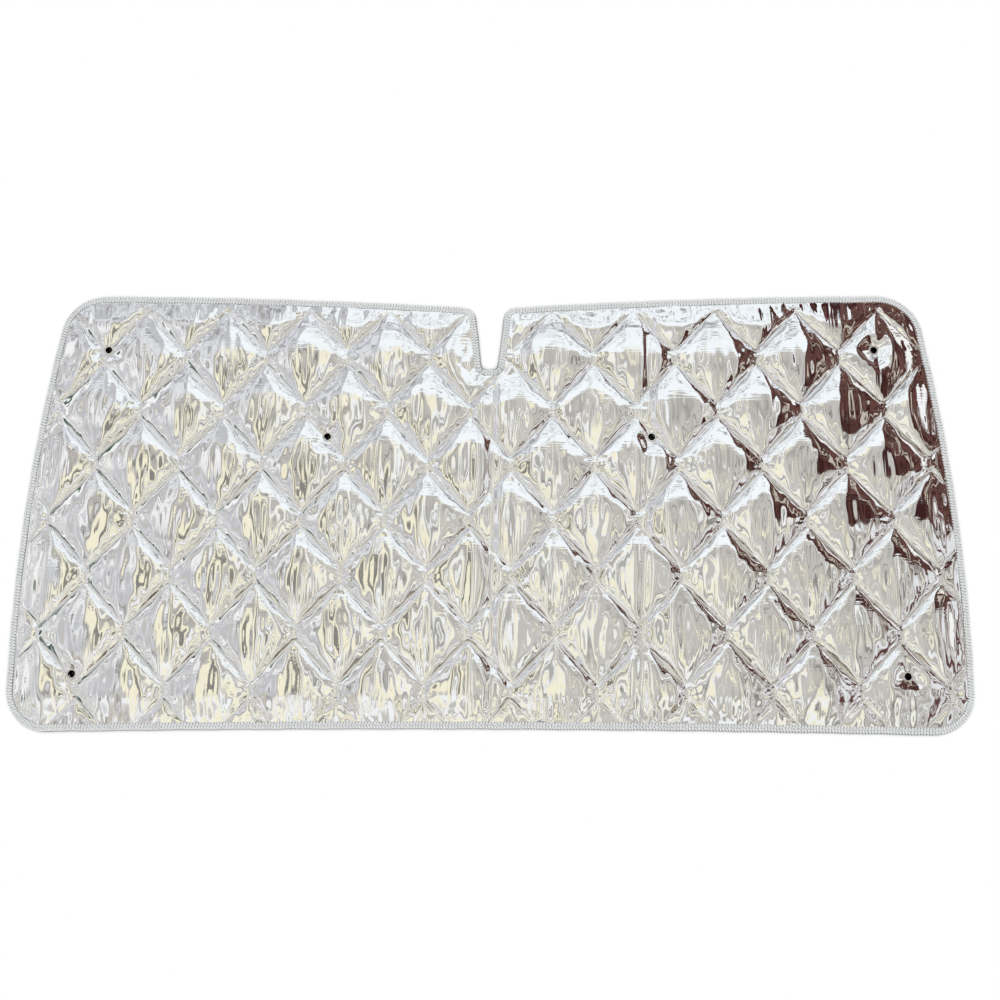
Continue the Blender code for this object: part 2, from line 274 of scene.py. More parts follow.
@dataclass(frozen=True)
class Quilting:
    """The zigzag seams, on the plan whose height starts at the bottom edge."""

    half_pitch: float = 0.0625
    row_pitch: float = 0.0834
    neck: float = 0.0187
    first_row_y: float = 0.5986
    side_shift: float = 0.0327
    rows: range = range(-1, 9)
    flatness: float = 2.2
    bent_share: float = 0.30
    groove_share: float = 0.05
    groove_width: float = 0.0020
    full_across: float = 0.7
    full_along: float = 0.6

    @property
    def rise(self) -> float:
        """Return half the height of one zigzag."""
        return (self.row_pitch - self.neck) / 2

    @property
    def diamond_height(self) -> float:
        """Return the height of a diamond from tip to tip."""
        return self.row_pitch + 2 * self.rise

    def seam_y(self, row: int, x: Array) -> Array:
        """Return the height of one seam at each x.

        Args:
            row: Seam number; 0 is the first whole one below the top edge.
            x: Places along the blind.

        Returns:
            The seam's height on the plan at each place.
        """
        turns = np.abs((np.asarray(x) - self.side_shift) / self.half_pitch) % 2
        swing = np.where(turns < 1, 2 * turns - 1, 3 - 2 * turns)
        return self.first_row_y - row * self.row_pitch + self.rise * swing * (-1) ** row

    def fullness(self, share: Array, span: Array) -> Array:
        """Return how full the quilting stands.

        Args:
            share: Share of the way from the upper seam to the lower one.
            span: Distance between the two seams there.

        Returns:
            0 at a seam, up to 1 in the middle of a diamond.
        """
        across = np.sin(math.pi * np.clip(share, 0, 1)) ** self.full_across
        return across * (span / self.diamond_height) ** self.full_along

    def film_lift(self, share: Array, span: Array) -> Array:
        """Return how high the film stands: bent mostly one way, and pulled down sharply at the seams.

        Args:
            share: Share of the way from the upper seam to the lower one.
            span: Distance between the two seams there.

        Returns:
            0 at a seam, up to 1 in the middle of a diamond.
        """
        across = np.abs(share - 0.5) * 2 * span / self.diamond_height
        out = 1 - np.minimum(span / self.diamond_height, 1)
        inside = np.clip(((1 - out) ** 2 - across ** 2) * ((1 + out) ** 2 - across ** 2), 0, 1)
        pillow = 1 - (1 - inside) ** self.flatness
        bent = np.maximum(ease(1 - out) - ease(across), 0)
        slope = math.hypot(self.half_pitch, 2 * self.rise) / self.half_pitch
        groove = 1 - np.exp(-np.minimum(share, 1 - share) * span / slope / self.groove_width)
        pillow_share = 1 - self.bent_share - self.groove_share
        return self.bent_share * bent + self.groove_share * groove + pillow_share * pillow

    def tip_distance(self, x: Array, y: Array) -> Array:
        """Return the distance to the nearest tip of any seam, with y on the plan's own height."""
        column = self.side_shift + np.round((x - self.side_shift) / self.half_pitch) * self.half_pitch
        return np.min([np.hypot(x - column, y - self.seam_y(row, column)) for row in self.rows], axis=0)

    def between(self, x: Array, y: Array) -> tuple[Array, Array]:
        """Find where points lie between the seam above and the seam below them.

        Args:
            x: Places along the blind.
            y: Heights on the plan.

        Returns:
            Each point's share of the way down from the upper seam, and the distance between the two.
        """
        upper = np.full_like(x, np.inf)
        lower = np.full_like(x, -np.inf)
        for row in self.rows:
            seam = self.seam_y(row, x)
            upper = np.where((seam >= y) & (seam < upper), seam, upper)
            lower = np.where((seam < y) & (seam > lower), seam, lower)
        above, below = np.isfinite(upper), np.isfinite(lower)
        span = np.where(above & below, upper - lower, self.diamond_height)
        share = np.where(above, (upper - y) / span, np.where(below, 1 - (y - lower) / span, 0.5))
        return np.clip(share, 0, 1), span


@dataclass(frozen=True)
class Corner:
    """One corner of the outline before it is rounded."""

    x: float
    y: float
    radius: float
    bow_after: float = 0.0


@dataclass(frozen=True)
class Outline:
    """The rim of the blind, as the CAD cuts it, and what is measured from it."""

    bottom_width: float = 1.393
    top_width: float = 1.318
    height: float = 0.657
    top_dip: float = 0.021
    side_bow: float = 0.013
    top_bow: float = 0.004
    bottom_bow: float = 0.006
    bottom_radius: float = 0.060
    top_radius: float = 0.065
    mouth_width: float = 0.050
    floor_width: float = 0.0265
    notch_depth: float = 0.099
    mouth_radius: float = 0.016
    floor_radius: float = 0.007
    step: float = 0.006
    fewest_steps: int = 6

    def corners(self) -> list[Corner]:
        """Return the corners, anticlockwise from the lower right."""
        mouth_y = self.height - self.top_dip
        floor_y = mouth_y - self.notch_depth
        half_bottom, half_top = self.bottom_width / 2, self.top_width / 2
        half_mouth, half_floor = self.mouth_width / 2, self.floor_width / 2
        return [
            Corner(half_bottom, 0.0, self.bottom_radius, self.side_bow),
            Corner(half_top, self.height, self.top_radius, self.top_bow),
            Corner(half_mouth, mouth_y, self.mouth_radius),
            Corner(half_floor, floor_y, self.floor_radius),
            Corner(-half_floor, floor_y, self.floor_radius),
            Corner(-half_mouth, mouth_y, self.mouth_radius, self.top_bow),
            Corner(-half_top, self.height, self.top_radius, self.side_bow),
            Corner(-half_bottom, 0.0, self.bottom_radius, -self.bottom_bow),
        ]

    def rounded(self, before: Corner, corner: Corner, after: Corner) -> Array:
        """Return the arc that rounds one corner.

        Args:
            before: The corner before it.
            corner: The corner itself.
            after: The corner after it.

        Returns:
            The arc's points, one row each.
        """
        spot = np.array([corner.x, corner.y])
        back = np.array([before.x, before.y]) - spot
        ahead = np.array([after.x, after.y]) - spot
        back, ahead = back / np.linalg.norm(back), ahead / np.linalg.norm(ahead)
        half = math.acos(float(back @ ahead)) / 2
        middle = (back + ahead) / np.linalg.norm(back + ahead)
        centre = spot + middle * corner.radius / math.sin(half)
        reach = corner.radius / math.tan(half)
        first, last = spot + back * reach - centre, spot + ahead * reach - centre
        turn = math.atan2(first[0] * last[1] - first[1] * last[0], float(first @ last))
        steps = max(self.fewest_steps, round(abs(turn) * corner.radius / self.step))
        angles = np.linspace(0, turn, steps + 1)
        return centre + np.stack([first[0] * np.cos(angles) - first[1] * np.sin(angles),
                                  first[0] * np.sin(angles) + first[1] * np.cos(angles)], axis=1)

    def rim(self) -> Array:
        """Return the closed outline in the row frame, anticlockwise, one point in each row."""
        corners = self.corners()
        arcs = [self.rounded(corners[index - 1], corner, corners[(index + 1) % len(corners)])
                for index, corner in enumerate(corners)]
        parts = []
        for index, arc in enumerate(arcs):
            start, end = arc[-1], arcs[(index + 1) % len(arcs)][0]
            length = float(np.linalg.norm(end - start))
            share = np.linspace(0, 1, max(2, round(length / self.step)) + 1)[1:-1, None]
            outward = np.array([end[1] - start[1], start[0] - end[0]]) / length
            bow = outward * corners[index].bow_after * 4 * share * (1 - share)
            parts += [arc, start + (end - start) * share + bow]
        points = np.concatenate(parts)
        points[:, 1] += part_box("edge_binding")[0].y
        return points


def side_normals(loop: Array) -> Array:
    """Return the unit inward normal at each point of an anticlockwise loop."""
    run = np.roll(loop, -1, axis=0) - np.roll(loop, 1, axis=0)
    run /= np.linalg.norm(run, axis=1, keepdims=True)
    return np.stack([-run[:, 1], run[:, 0]], axis=1)


def inset(loop: Array, distance: float) -> Array:
    """Return a loop moved inwards by a distance."""
    return loop + side_normals(loop) * distance


def depth_inside(points: Array, loop: Array) -> tuple[Array, Array]:
    """Measure how far points lie inside a loop.

    Args:
        points: Points on the plan, one row each.
        loop: The closed loop.

    Returns:
        Each point's depth, negative outside, and its nearest point on the loop.
    """
    nearest = np.full(len(points), np.inf)
    spot = np.zeros_like(points)
    inside = np.zeros(len(points), dtype=bool)
    for here, last in zip(loop, np.roll(loop, 1, axis=0)):
        run = here - last
        share = np.clip(((points - last) @ run) / (run @ run), 0, 1)
        foot = last + share[:, None] * run
        away = np.hypot(*(points - foot).T)
        closer = away < nearest
        nearest[closer] = away[closer]
        spot[closer] = foot[closer]
        if here[1] != last[1]:
            crossing = (here[1] > points[:, 1]) != (last[1] > points[:, 1])
            cross_x = here[0] + (points[:, 1] - here[1]) * run[0] / run[1]
            inside ^= crossing & (points[:, 0] < cross_x)
    return np.where(inside, nearest, -nearest), spot


@dataclass
class Grid:
    """A layer of cloth as columns and rows of points, with the seams on its own lines."""

    points: Array
    faces: list
    on_seam: Array
    fullness: Array
    lift: Array
    edge_depth: Array
    land_gap: Array


@dataclass
class Plan:
    """Where everything lies, seen from above in the row frame."""

    outline: Outline = field(default_factory=Outline)
    quilting: Quilting = field(default_factory=Quilting)
    cut_inset: float = 0.0014
    quilt_inset: float = 0.0088
    hole_radius: float = 0.0060
    bore_clear: float = 0.0050
    land_radius: float = 0.0084
    edge_margin: float = 0.042
    land_margin: float = 0.017
    land_ragged: float = 0.016
    land_noise: Ripple = Ripple(70, 70, 8)
    land_blend: float = 0.004
    dive_margin: float = 0.006
    dive_share: float = 0.12
    dive_width: float = 0.004
    seam_crowding: float = 0.5
    flat: tuple = (1.390, 0.655)
    area: float = 0.880

    def __post_init__(self) -> None:
        """Measure the loops and the eyelets once."""
        self.rim = self.outline.rim()
        self.cut_edge = inset(self.rim, self.cut_inset)
        self.quilt_edge = inset(self.rim, self.quilt_inset)
        self.base_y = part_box("edge_binding")[0].y
        self.eyelets = [place.centre for place in Place]

    def seam(self, row: int, x: Array) -> Array:
        """Return a seam's height in the row frame at each x."""
        return self.quilting.seam_y(row, x) + self.base_y

    def columns(self, steps: int = 1) -> Array:
        """Return the x of the seams' tips across the whole blind, with steps from one to the next."""
        quilt = self.quilting
        reach = math.ceil(self.outline.bottom_width / 2 / quilt.half_pitch + 1) * steps
        return quilt.side_shift + np.arange(-reach, reach + 1) * quilt.half_pitch / steps

    def eyelet_distance(self, points: Array) -> Array:
        """Return the distance from each point of the plan to the nearest eyelet's centre."""
        return np.min([np.hypot(*(points - centre).T) for centre in self.eyelets], axis=0)

    def punch(self, points: Array, quads: Array, centre: Array) -> Array:
        """Open one eyelet's hole: drop the cells over its bore and draw those round it up to the hole.

        Args:
            points: Points of the cloth on the plan, moved in place.
            quads: Corner numbers of each cell.
            centre: The eyelet's centre.

        Returns:
            The cells that are left.
        """
        corners = points[quads] - centre
        run = np.roll(corners, -1, axis=1) - corners
        share = np.clip(-(corners * run).sum(axis=2) / ((run * run).sum(axis=2) + TINY), 0, 1)
        nearest = np.linalg.norm(corners + run * share[..., None], axis=2).min(axis=1)
        turn = corners[..., 0] * run[..., 1] - corners[..., 1] * run[..., 0]
        opened = (nearest < self.bore_clear) | (turn > 0).all(axis=1) | (turn < 0).all(axis=1)
        lip = np.intersect1d(quads[opened], quads[~opened])
        away = points[lip] - centre
        points[lip] = centre + away / np.linalg.norm(away, axis=1, keepdims=True) * self.hole_radius
        return quads[~opened]

    def grid(self, across: int, down: int) -> Grid:
        """Divide the cut cloth so that every seam runs along the lines of the grid.

        Args:
            across: Columns in each half pitch of the zigzag.
            down: Rows between one seam and the next.

        Returns:
            The grid, trimmed to the cut edge and the eyelet holes.
        """
        quilt, x = self.quilting, self.columns(across)
        lines, shares, spans = [], [], []
        for row in quilt.rows[:-1]:
            upper, lower = self.seam(row, x), self.seam(row + 1, x)
            for step in range(down):
                even = step / down
                share = even + self.seam_crowding * ((1 - math.cos(math.pi * even)) / 2 - even)
                lines.append(upper + (lower - upper) * share)
                shares.append(np.full_like(x, share))
                spans.append(upper - lower)
        y = np.array(lines)
        shape = y.shape
        points = np.stack([np.broadcast_to(x, shape).ravel(), y.ravel()], axis=1)
        share, span = np.array(shares).ravel(), np.array(spans).ravel()
        depth, foot = depth_inside(points, self.cut_edge)
        index = np.arange(points.shape[0]).reshape(shape)
        quads = np.stack([index[1:, :-1], index[1:, 1:], index[:-1, 1:], index[:-1, :-1]], axis=-1).reshape(-1, 4)
        quads = quads[depth[quads].mean(axis=1) > 0]
        outside = depth < 0
        points[outside] = foot[outside]
        for centre in self.eyelets:
            quads = self.punch(points, quads, centre)
        used, faces = np.unique(quads, return_inverse=True)
        points, share, span = points[used], share[used], span[used]
        edge_depth, _ = depth_inside(points, self.quilt_edge)
        land_gap = self.eyelet_distance(points) - self.land_radius
        ragged = land_gap + self.land_ragged * self.land_noise.value(*points.T) * ease(land_gap / self.land_blend)
        room = ease(edge_depth / self.edge_margin) * ease(ragged / self.land_margin)
        bulge = ease(edge_depth / self.dive_margin) * ease(land_gap / self.dive_margin)
        dive = bulge * (1 - np.exp(-np.minimum(share, 1 - share) * span / self.dive_width))
        lift = np.maximum(quilt.film_lift(share, span) * room, 0) * (1 - self.dive_share) + self.dive_share * dive
        return Grid(points, faces.reshape(-1, 4).tolist(), share == 0, quilt.fullness(share, span) * room, lift,
                    edge_depth, land_gap)


# Finishes


@dataclass
class Graph:
    """The node graph of one material, or of the world, with nodes added and joined in one call."""

    name: str
    world: bool = False

    def __post_init__(self) -> None:
        """Start an empty graph with its output."""
        self.owner = (bpy.data.worlds if self.world else bpy.data.materials).new(self.name)
        self.owner.use_nodes = True
        self.tree = self.owner.node_tree
        self.tree.nodes.clear()
        self.output = self.add("OutputWorld" if self.world else "OutputMaterial")

    def add(self, kind: str, inputs: dict | None = None, **settings: object) -> bpy.types.Node:
        """Add a node.

        Args:
            kind: The node's type without its "ShaderNode" prefix.
            inputs: Values or output sockets for its inputs.
            **settings: Its own settings, such as operation.

        Returns:
            The new node.
        """
        node = self.tree.nodes.new("ShaderNode" + kind)
        for name, value in settings.items():
            setattr(node, name, value)
        for name, value in (inputs or {}).items():
            if isinstance(value, bpy.types.NodeSocket):
                self.tree.links.new(value, node.inputs[name])
            else:
                node.inputs[name].default_value = value
        return node

    def place(self, scale: tuple[float, float, float], shift: float = 0.0) -> bpy.types.NodeSocket:
        """Return the piece's own coordinates, scaled along each axis and shifted."""
        inputs = {"Vector": self.add("TexCoord").outputs["Object"], "Scale": scale, "Location": (shift,) * 3}
        return self.add("Mapping", inputs).outputs["Vector"]

    def noise(self, scale: tuple[float, float, float], detail: float = 2.0, rough: float = 0.5,
              shift: float = 0.0) -> bpy.types.NodeSocket:
        """Return a noise value.

        Args:
            scale: Waves per metre along each axis.
            detail: Octaves of finer noise.
            rough: Share of each finer octave.
            shift: Moves the pattern, so that two of one scale differ.

        Returns:
            The noise, about 0 to 1.
        """
        node = self.add("TexNoise", {"Vector": self.place(scale, shift), "Scale": 1.0, "Detail": detail,
                                     "Roughness": rough})
        return node.outputs["Fac"]

    def math(self, operation: str, *values: object) -> bpy.types.NodeSocket:
        """Return the result of a sum on values or sockets."""
        node = self.add("Math", {index: value for index, value in enumerate(values)}, operation=operation)
        return node.outputs["Value"]

    def span(self, value: bpy.types.NodeSocket, start: tuple[float, float],
             end: tuple[float, float]) -> bpy.types.NodeSocket:
        """Map a value from one span to another.

        Args:
            value: The value to map.
            start: Lowest and highest value that count.
            end: What those two become.

        Returns:
            The mapped value, held within its span.
        """
        node = self.add("MapRange", {"Value": value, "From Min": start[0], "From Max": start[1],
                                     "To Min": end[0], "To Max": end[1]})
        return node.outputs["Result"]

    def blend(self, share: bpy.types.NodeSocket, low: Sequence[float] | bpy.types.NodeSocket,
              high: Sequence[float] | bpy.types.NodeSocket) -> bpy.types.NodeSocket:
        """Return a colour between two.

        Args:
            share: 0 for the first colour, 1 for the second.
            low: The first colour.
            high: The second colour.

        Returns:
            The mixed colour.
        """
        low, high = (end if isinstance(end, bpy.types.NodeSocket) else (*end, 1) for end in (low, high))
        node = self.add("Mix", {"Factor": share, "A": low, "B": high}, data_type="RGBA")
        return next(socket for socket in node.outputs if socket.type == "RGBA")

    def bump(self, height: bpy.types.NodeSocket, distance: float, strength: float = 1.0,
             under: bpy.types.NodeSocket | None = None) -> bpy.types.NodeSocket:
        """Return a bumped normal.

        Args:
            height: The relief, 0 to 1.
            distance: Its real depth in metres.
            strength: Share of it that counts.
            under: A normal that it adds to.

        Returns:
            The normal.
        """
        inputs = {"Height": height, "Distance": distance, "Strength": strength}
        if under is not None:
            inputs["Normal"] = under
        return self.add("Bump", inputs).outputs["Normal"]

    def attribute(self, name: str) -> bpy.types.NodeSocket:
        """Return a value that the mesh carries."""
        return self.add("Attribute", attribute_name=name).outputs["Fac"]

    def shown(self) -> bpy.types.NodeSocket:
        """Return 1 for rays that show the surface to the eye or in gloss or glass, and 0 for those that light."""
        ray = self.add("LightPath").outputs
        gloss = self.math("MAXIMUM", ray["Is Glossy Ray"], ray["Is Transmission Ray"])
        return self.math("MAXIMUM", ray["Is Camera Ray"], gloss)

    def finish(self, shader: bpy.types.NodeSocket) -> bpy.types.Material | bpy.types.World:
        """Join a shader to the output and return the material or the world."""
        self.tree.links.new(shader, self.output.inputs["Surface"])
        return self.owner

    def surface(self, inputs: dict) -> bpy.types.Material:
        """Finish with a surface that has these inputs."""
        return self.finish(self.add("BsdfPrincipled", inputs).outputs["BSDF"])


@dataclass(frozen=True)
class MirrorFilm:
    """Aluminised film: bright, with fine creases down the cloth and scuffs."""

    name: str = "mirror_film"
    bright: tuple = (0.93, 0.935, 0.945)
    dull: tuple = (0.86, 0.855, 0.84)
    streak_depth: float = 0.00010
    comb_depth: float = 0.00006
    crinkle_depth: float = 0.00003
    smooth: float = 0.02
    scuffed: float = 0.10
    streak_waves: tuple = (170, 15, 30)
    comb_waves: tuple = (13, 210, 30)
    crinkle_waves: tuple = (60, 190, 60)
    crinkled_waves: tuple = (11, 9, 9)
    rough_waves: tuple = (14, 9, 9)
    tone_waves: tuple = (30, 30, 30)
    scuff_waves: tuple = (60, 40, 40)
    fold: float = 4.0

    def ridge(self, graph: Graph, value: bpy.types.NodeSocket) -> bpy.types.NodeSocket:
        """Return a value folded about its middle, so that it has sharp creases."""
        return graph.math("MULTIPLY", graph.math("ABSOLUTE", graph.math("SUBTRACT", value, 0.5)), self.fold)

    def build(self) -> bpy.types.Material:
        """Return the material."""
        graph = Graph(self.name)
        streaks = self.ridge(graph, graph.noise(self.streak_waves, 0.0))
        combs = self.ridge(graph, graph.noise(self.comb_waves, 0.0))
        crinkles = self.ridge(graph, graph.noise(self.crinkle_waves, 1.0))
        crinkled = graph.span(graph.noise(self.crinkled_waves, 2.0), (0.46, 0.62), (0.05, 1.0))
        rough = graph.span(graph.noise(self.rough_waves, 1.0), (0.42, 0.56), (0.12, 1.0))
        streaks = graph.math("MULTIPLY", graph.math("MULTIPLY", streaks, graph.attribute("streaked")), rough)
        normal = graph.bump(streaks, self.streak_depth)
        normal = graph.bump(graph.math("MULTIPLY", combs, graph.attribute("combed")), self.comb_depth, under=normal)
        normal = graph.bump(graph.math("MULTIPLY", crinkles, crinkled), self.crinkle_depth, under=normal)
        scuffs = graph.noise(self.scuff_waves, 4.0, 0.6)
        return graph.surface({
            "Base Color": graph.blend(graph.noise(self.tone_waves, 3.0), self.dull, self.bright),
            "Roughness": graph.span(scuffs, (0.35, 0.7), (self.smooth, self.scuffed)),
            "Metallic": 1.0,
            "Normal": normal,
        })


@dataclass(frozen=True)
class TwistedThread:
    """Polyester sewing thread: soft white with a twist and a little fuzz."""

    name: str
    light: tuple
    dark: tuple
    twist: float = 75.0
    lay: tuple = (1, 1.6, 2.1)
    tangle: float = 2.5
    fuzz_waves: tuple = (3000, 3000, 3000)
    soil_waves: tuple = (45, 45, 45)
    ply_depth: float = 0.0003
    fuzz_depth: float = 0.0002
    sheen: float = 0.25
    sheen_rough: float = 0.4

    def build(self) -> bpy.types.Material:
        """Return the material."""
        graph = Graph(self.name)
        waves = {"Vector": graph.place(self.lay), "Scale": self.twist, "Distortion": self.tangle, "Detail": 2.0}
        plies = graph.add("TexWave", waves, bands_direction="DIAGONAL").outputs["Fac"]
        fuzz = graph.noise(self.fuzz_waves, 3.0, 0.6)
        soil = graph.noise(self.soil_waves, 3.0)
        # The colour darkens in the twist's grooves as painted shade, and in random soiled patches.
        share = graph.math("MULTIPLY", graph.span(plies, (0.1, 0.7), (0.45, 1.0)),
                           graph.span(soil, (0.3, 0.6), (0.75, 1.0)))
        normal = graph.bump(fuzz, self.fuzz_depth, 0.6, graph.bump(plies, self.ply_depth))
        return graph.surface({
            "Base Color": graph.blend(share, self.dark, self.light),
            "Roughness": graph.span(fuzz, (0.3, 0.7), (0.55, 0.8)),
            "Sheen Weight": self.sheen,
            "Sheen Roughness": self.sheen_rough,
            "Normal": normal,
        })


@dataclass(frozen=True)
class PlainWeave:
    """Plain grey lining cloth."""

    name: str = "plain_weave"
    light: tuple = (0.42, 0.43, 0.45)
    dark: tuple = (0.20, 0.205, 0.22)
    yarn_pitch: float = 0.0011
    yarn_depth: float = 0.00025
    slub_waves: tuple = (500, 60, 60)
    wear_waves: tuple = (14, 14, 14)
    cockle_waves: tuple = (40, 40, 40)
    cockle_depth: float = 0.0012
    over_share: float = 0.35
    sheen: float = 0.2
    sheen_rough: float = 0.5

    def build(self) -> bpy.types.Material:
        """Return the material."""
        graph = Graph(self.name)
        parts = graph.add("SeparateXYZ", {"Vector": graph.place((math.pi / self.yarn_pitch,) * 3)})
        warp = graph.math("SINE", parts.outputs["X"])
        weft = graph.math("SINE", parts.outputs["Y"])
        over = graph.math("MULTIPLY", warp, weft)
        ridges = graph.math("MAXIMUM", graph.math("ABSOLUTE", warp), graph.math("ABSOLUTE", weft))
        height = graph.math("MULTIPLY_ADD", over, self.over_share, ridges)
        slub = graph.noise(self.slub_waves, 3.0)
        wear = graph.noise(self.wear_waves, 4.0, 0.6)
        # The colour darkens where the yarns dip, painted shade in the weave's hollows, and in random worn and
        # slubbed patches.
        share = graph.math("MULTIPLY", graph.span(height, (0.2, 1.2), (0.25, 1.0)),
                           graph.span(wear, (0.3, 0.65), (0.8, 1.0)))
        share = graph.math("MULTIPLY", share, graph.span(slub, (0.3, 0.6), (0.75, 1.0)))
        normal = graph.bump(height, self.yarn_depth)
        normal = graph.bump(graph.noise(self.cockle_waves, 4.0), self.cockle_depth, 0.7, normal)
        return graph.surface({
            "Base Color": graph.blend(share, self.dark, self.light),
            "Roughness": graph.span(slub, (0.3, 0.7), (0.7, 0.9)),
            "Sheen Weight": self.sheen,
            "Sheen Roughness": self.sheen_rough,
            "Normal": normal,
        })


@dataclass(frozen=True)
class BondedWadding:
    """Bonded polyester wadding, white and fibrous."""

    name: str = "bonded_wadding"
    light: tuple = (0.88, 0.88, 0.86)
    dark: tuple = (0.62, 0.62, 0.60)
    fibre_waves: tuple = (900, 250, 250)
    fibre_depth: float = 0.0006
    tuft_waves: tuple = (120, 120, 120)

    def build(self) -> bpy.types.Material:
        """Return the material."""
        graph = Graph(self.name)
        fibres = graph.noise(self.fibre_waves, 5.0, 0.7)
        tufts = graph.span(graph.noise(self.tuft_waves, 3.0), (0.3, 0.7), (0.7, 1.3))
        return graph.surface({
            "Base Color": graph.blend(graph.math("MULTIPLY", fibres, tufts), self.dark, self.light),
            "Roughness": graph.span(fibres, (0.3, 0.7), (0.85, 1.0)),
            "Normal": graph.bump(fibres, self.fibre_depth),
        })


@dataclass(frozen=True)
class NickelPlate:
    """Bright nickel plate, dulled in patches and finely scratched, with painted shade that turns the bore and the
    roll of its mouth near black.
    """

    name: str = "nickel_plate"
    bright: tuple = (0.90, 0.89, 0.86)
    dull: tuple = (0.68, 0.66, 0.63)
    # Near-black painted shade for the inside of the bore, standing in for the shadow down the barrel.
    bore_shade: tuple = (0.02, 0.02, 0.02)
    tarnish_waves: tuple = (260, 260, 260)
    scratch_waves: tuple = (2600, 380, 900)
    scratch_depth: float = 0.00004

    def build(self) -> bpy.types.Material:
        """Return the material."""
        graph = Graph(self.name)
        tarnish = graph.noise(self.tarnish_waves, 4.0, 0.6)
        plate = graph.blend(graph.span(tarnish, (0.35, 0.65), (0.0, 1.0)), self.dull, self.bright)
        return graph.surface({
            # The base colour turns to the painted bore shade where the mesh marks the bore.
            "Base Color": graph.blend(graph.attribute("bore_shaded"), plate, self.bore_shade),
            "Roughness": graph.span(tarnish, (0.3, 0.7), (0.34, 0.16)),
            "Metallic": 1.0,
            "Normal": graph.bump(graph.noise(self.scratch_waves, 3.0), self.scratch_depth, 0.5),
        })


@dataclass(frozen=True)
class PaleFloor:
    """A white floor that shows as the background, with the shadow where the blind meets it."""

    name: str = "pale_floor"
    white: tuple = (0.9, 0.9, 0.9)
    shadow_reach: float = 0.012
    shadow_span: tuple = (0.50, 0.82)
    shadow_rays: int = 12

    def build(self) -> bpy.types.Material:
        """Return the material."""
        graph = Graph(self.name)
        open_sky = graph.add("AmbientOcclusion", {"Distance": self.shadow_reach}, samples=self.shadow_rays)
        shade = graph.span(open_sky.outputs["AO"], self.shadow_span, (0.0, 1.0))
        glow = graph.add("Emission", {"Color": WHITE, "Strength": shade})
        plain = graph.add("BsdfDiffuse", {"Color": (*self.white, 1)})
        mixed = graph.add("MixShader", {0: graph.shown(), 1: plain.outputs["BSDF"], 2: glow.outputs["Emission"]})
        return graph.finish(mixed.outputs["Shader"])


@dataclass(frozen=True)
class Marks:
    """Patches of one colour on a card."""

    colour: tuple
    patches: tuple
    edge: tuple
    fade: tuple = (0.0, 0.0)


@dataclass(frozen=True)
class StudioCard:
    """A lit, unevenly painted card beside or above the blind, which only its reflections show."""

    name: str
    centre: tuple
    size: tuple
    ground: tuple
    marks: tuple
    strength: float = 1.0
    level: bool = True
    fade_heights: tuple = (0.9, 1.7)
    layer_shift: float = 7.3

    def paint(self) -> bpy.types.Material:
        """Return the card's glow: its ground colour with each kind of mark laid over it."""
        graph = Graph(f"{self.name}_glow")
        height = graph.add("SeparateXYZ", {"Vector": graph.place((1, 1, 1))}).outputs["Y"]
        colour = graph.add("RGB").outputs["Color"]
        colour.default_value = (*self.ground, 1)
        for layer, marks in enumerate(self.marks):
            noise = graph.noise((*marks.patches, 1.0), 2.0, 0.5, layer * self.layer_shift)
            faded = graph.math("ADD", noise, graph.span(height, self.fade_heights, marks.fade))
            colour = graph.blend(graph.span(faded, marks.edge, (0.0, 1.0)), colour, marks.colour)
        glow = graph.add("Emission", {"Color": colour, "Strength": self.strength})
        return graph.finish(glow.outputs["Emission"])

    def build(self) -> bpy.types.Object:
        """Return the card, facing down or facing the blind."""
        card = rectangle(self.name, *self.size)
        dress(card, self.paint())
        card.location = self.centre
        aim = (*self.centre[:2], 0.0) if self.level else (0.0, 0.0, 0.0)
        way = Vector(aim) - Vector(self.centre)
        card.rotation_mode = "QUATERNION"
        card.rotation_quaternion = way.to_track_quat("-Z", "Y")
        card.visible_camera = False
        card.visible_shadow = False
        card.visible_diffuse = False
        return card


# Pieces of the blind


@dataclass(frozen=True)
class Crease:
    """A line where the blind was folded for storing."""

    x: float
    lean: float
    depth: float
    width: float

    def height(self, points: Array) -> Array:
        """Return how far the crease lifts the film at points of the plan."""
        away = (points[:, 0] - self.x - self.lean * points[:, 1]) / self.width
        return self.depth * np.exp(-away * away)


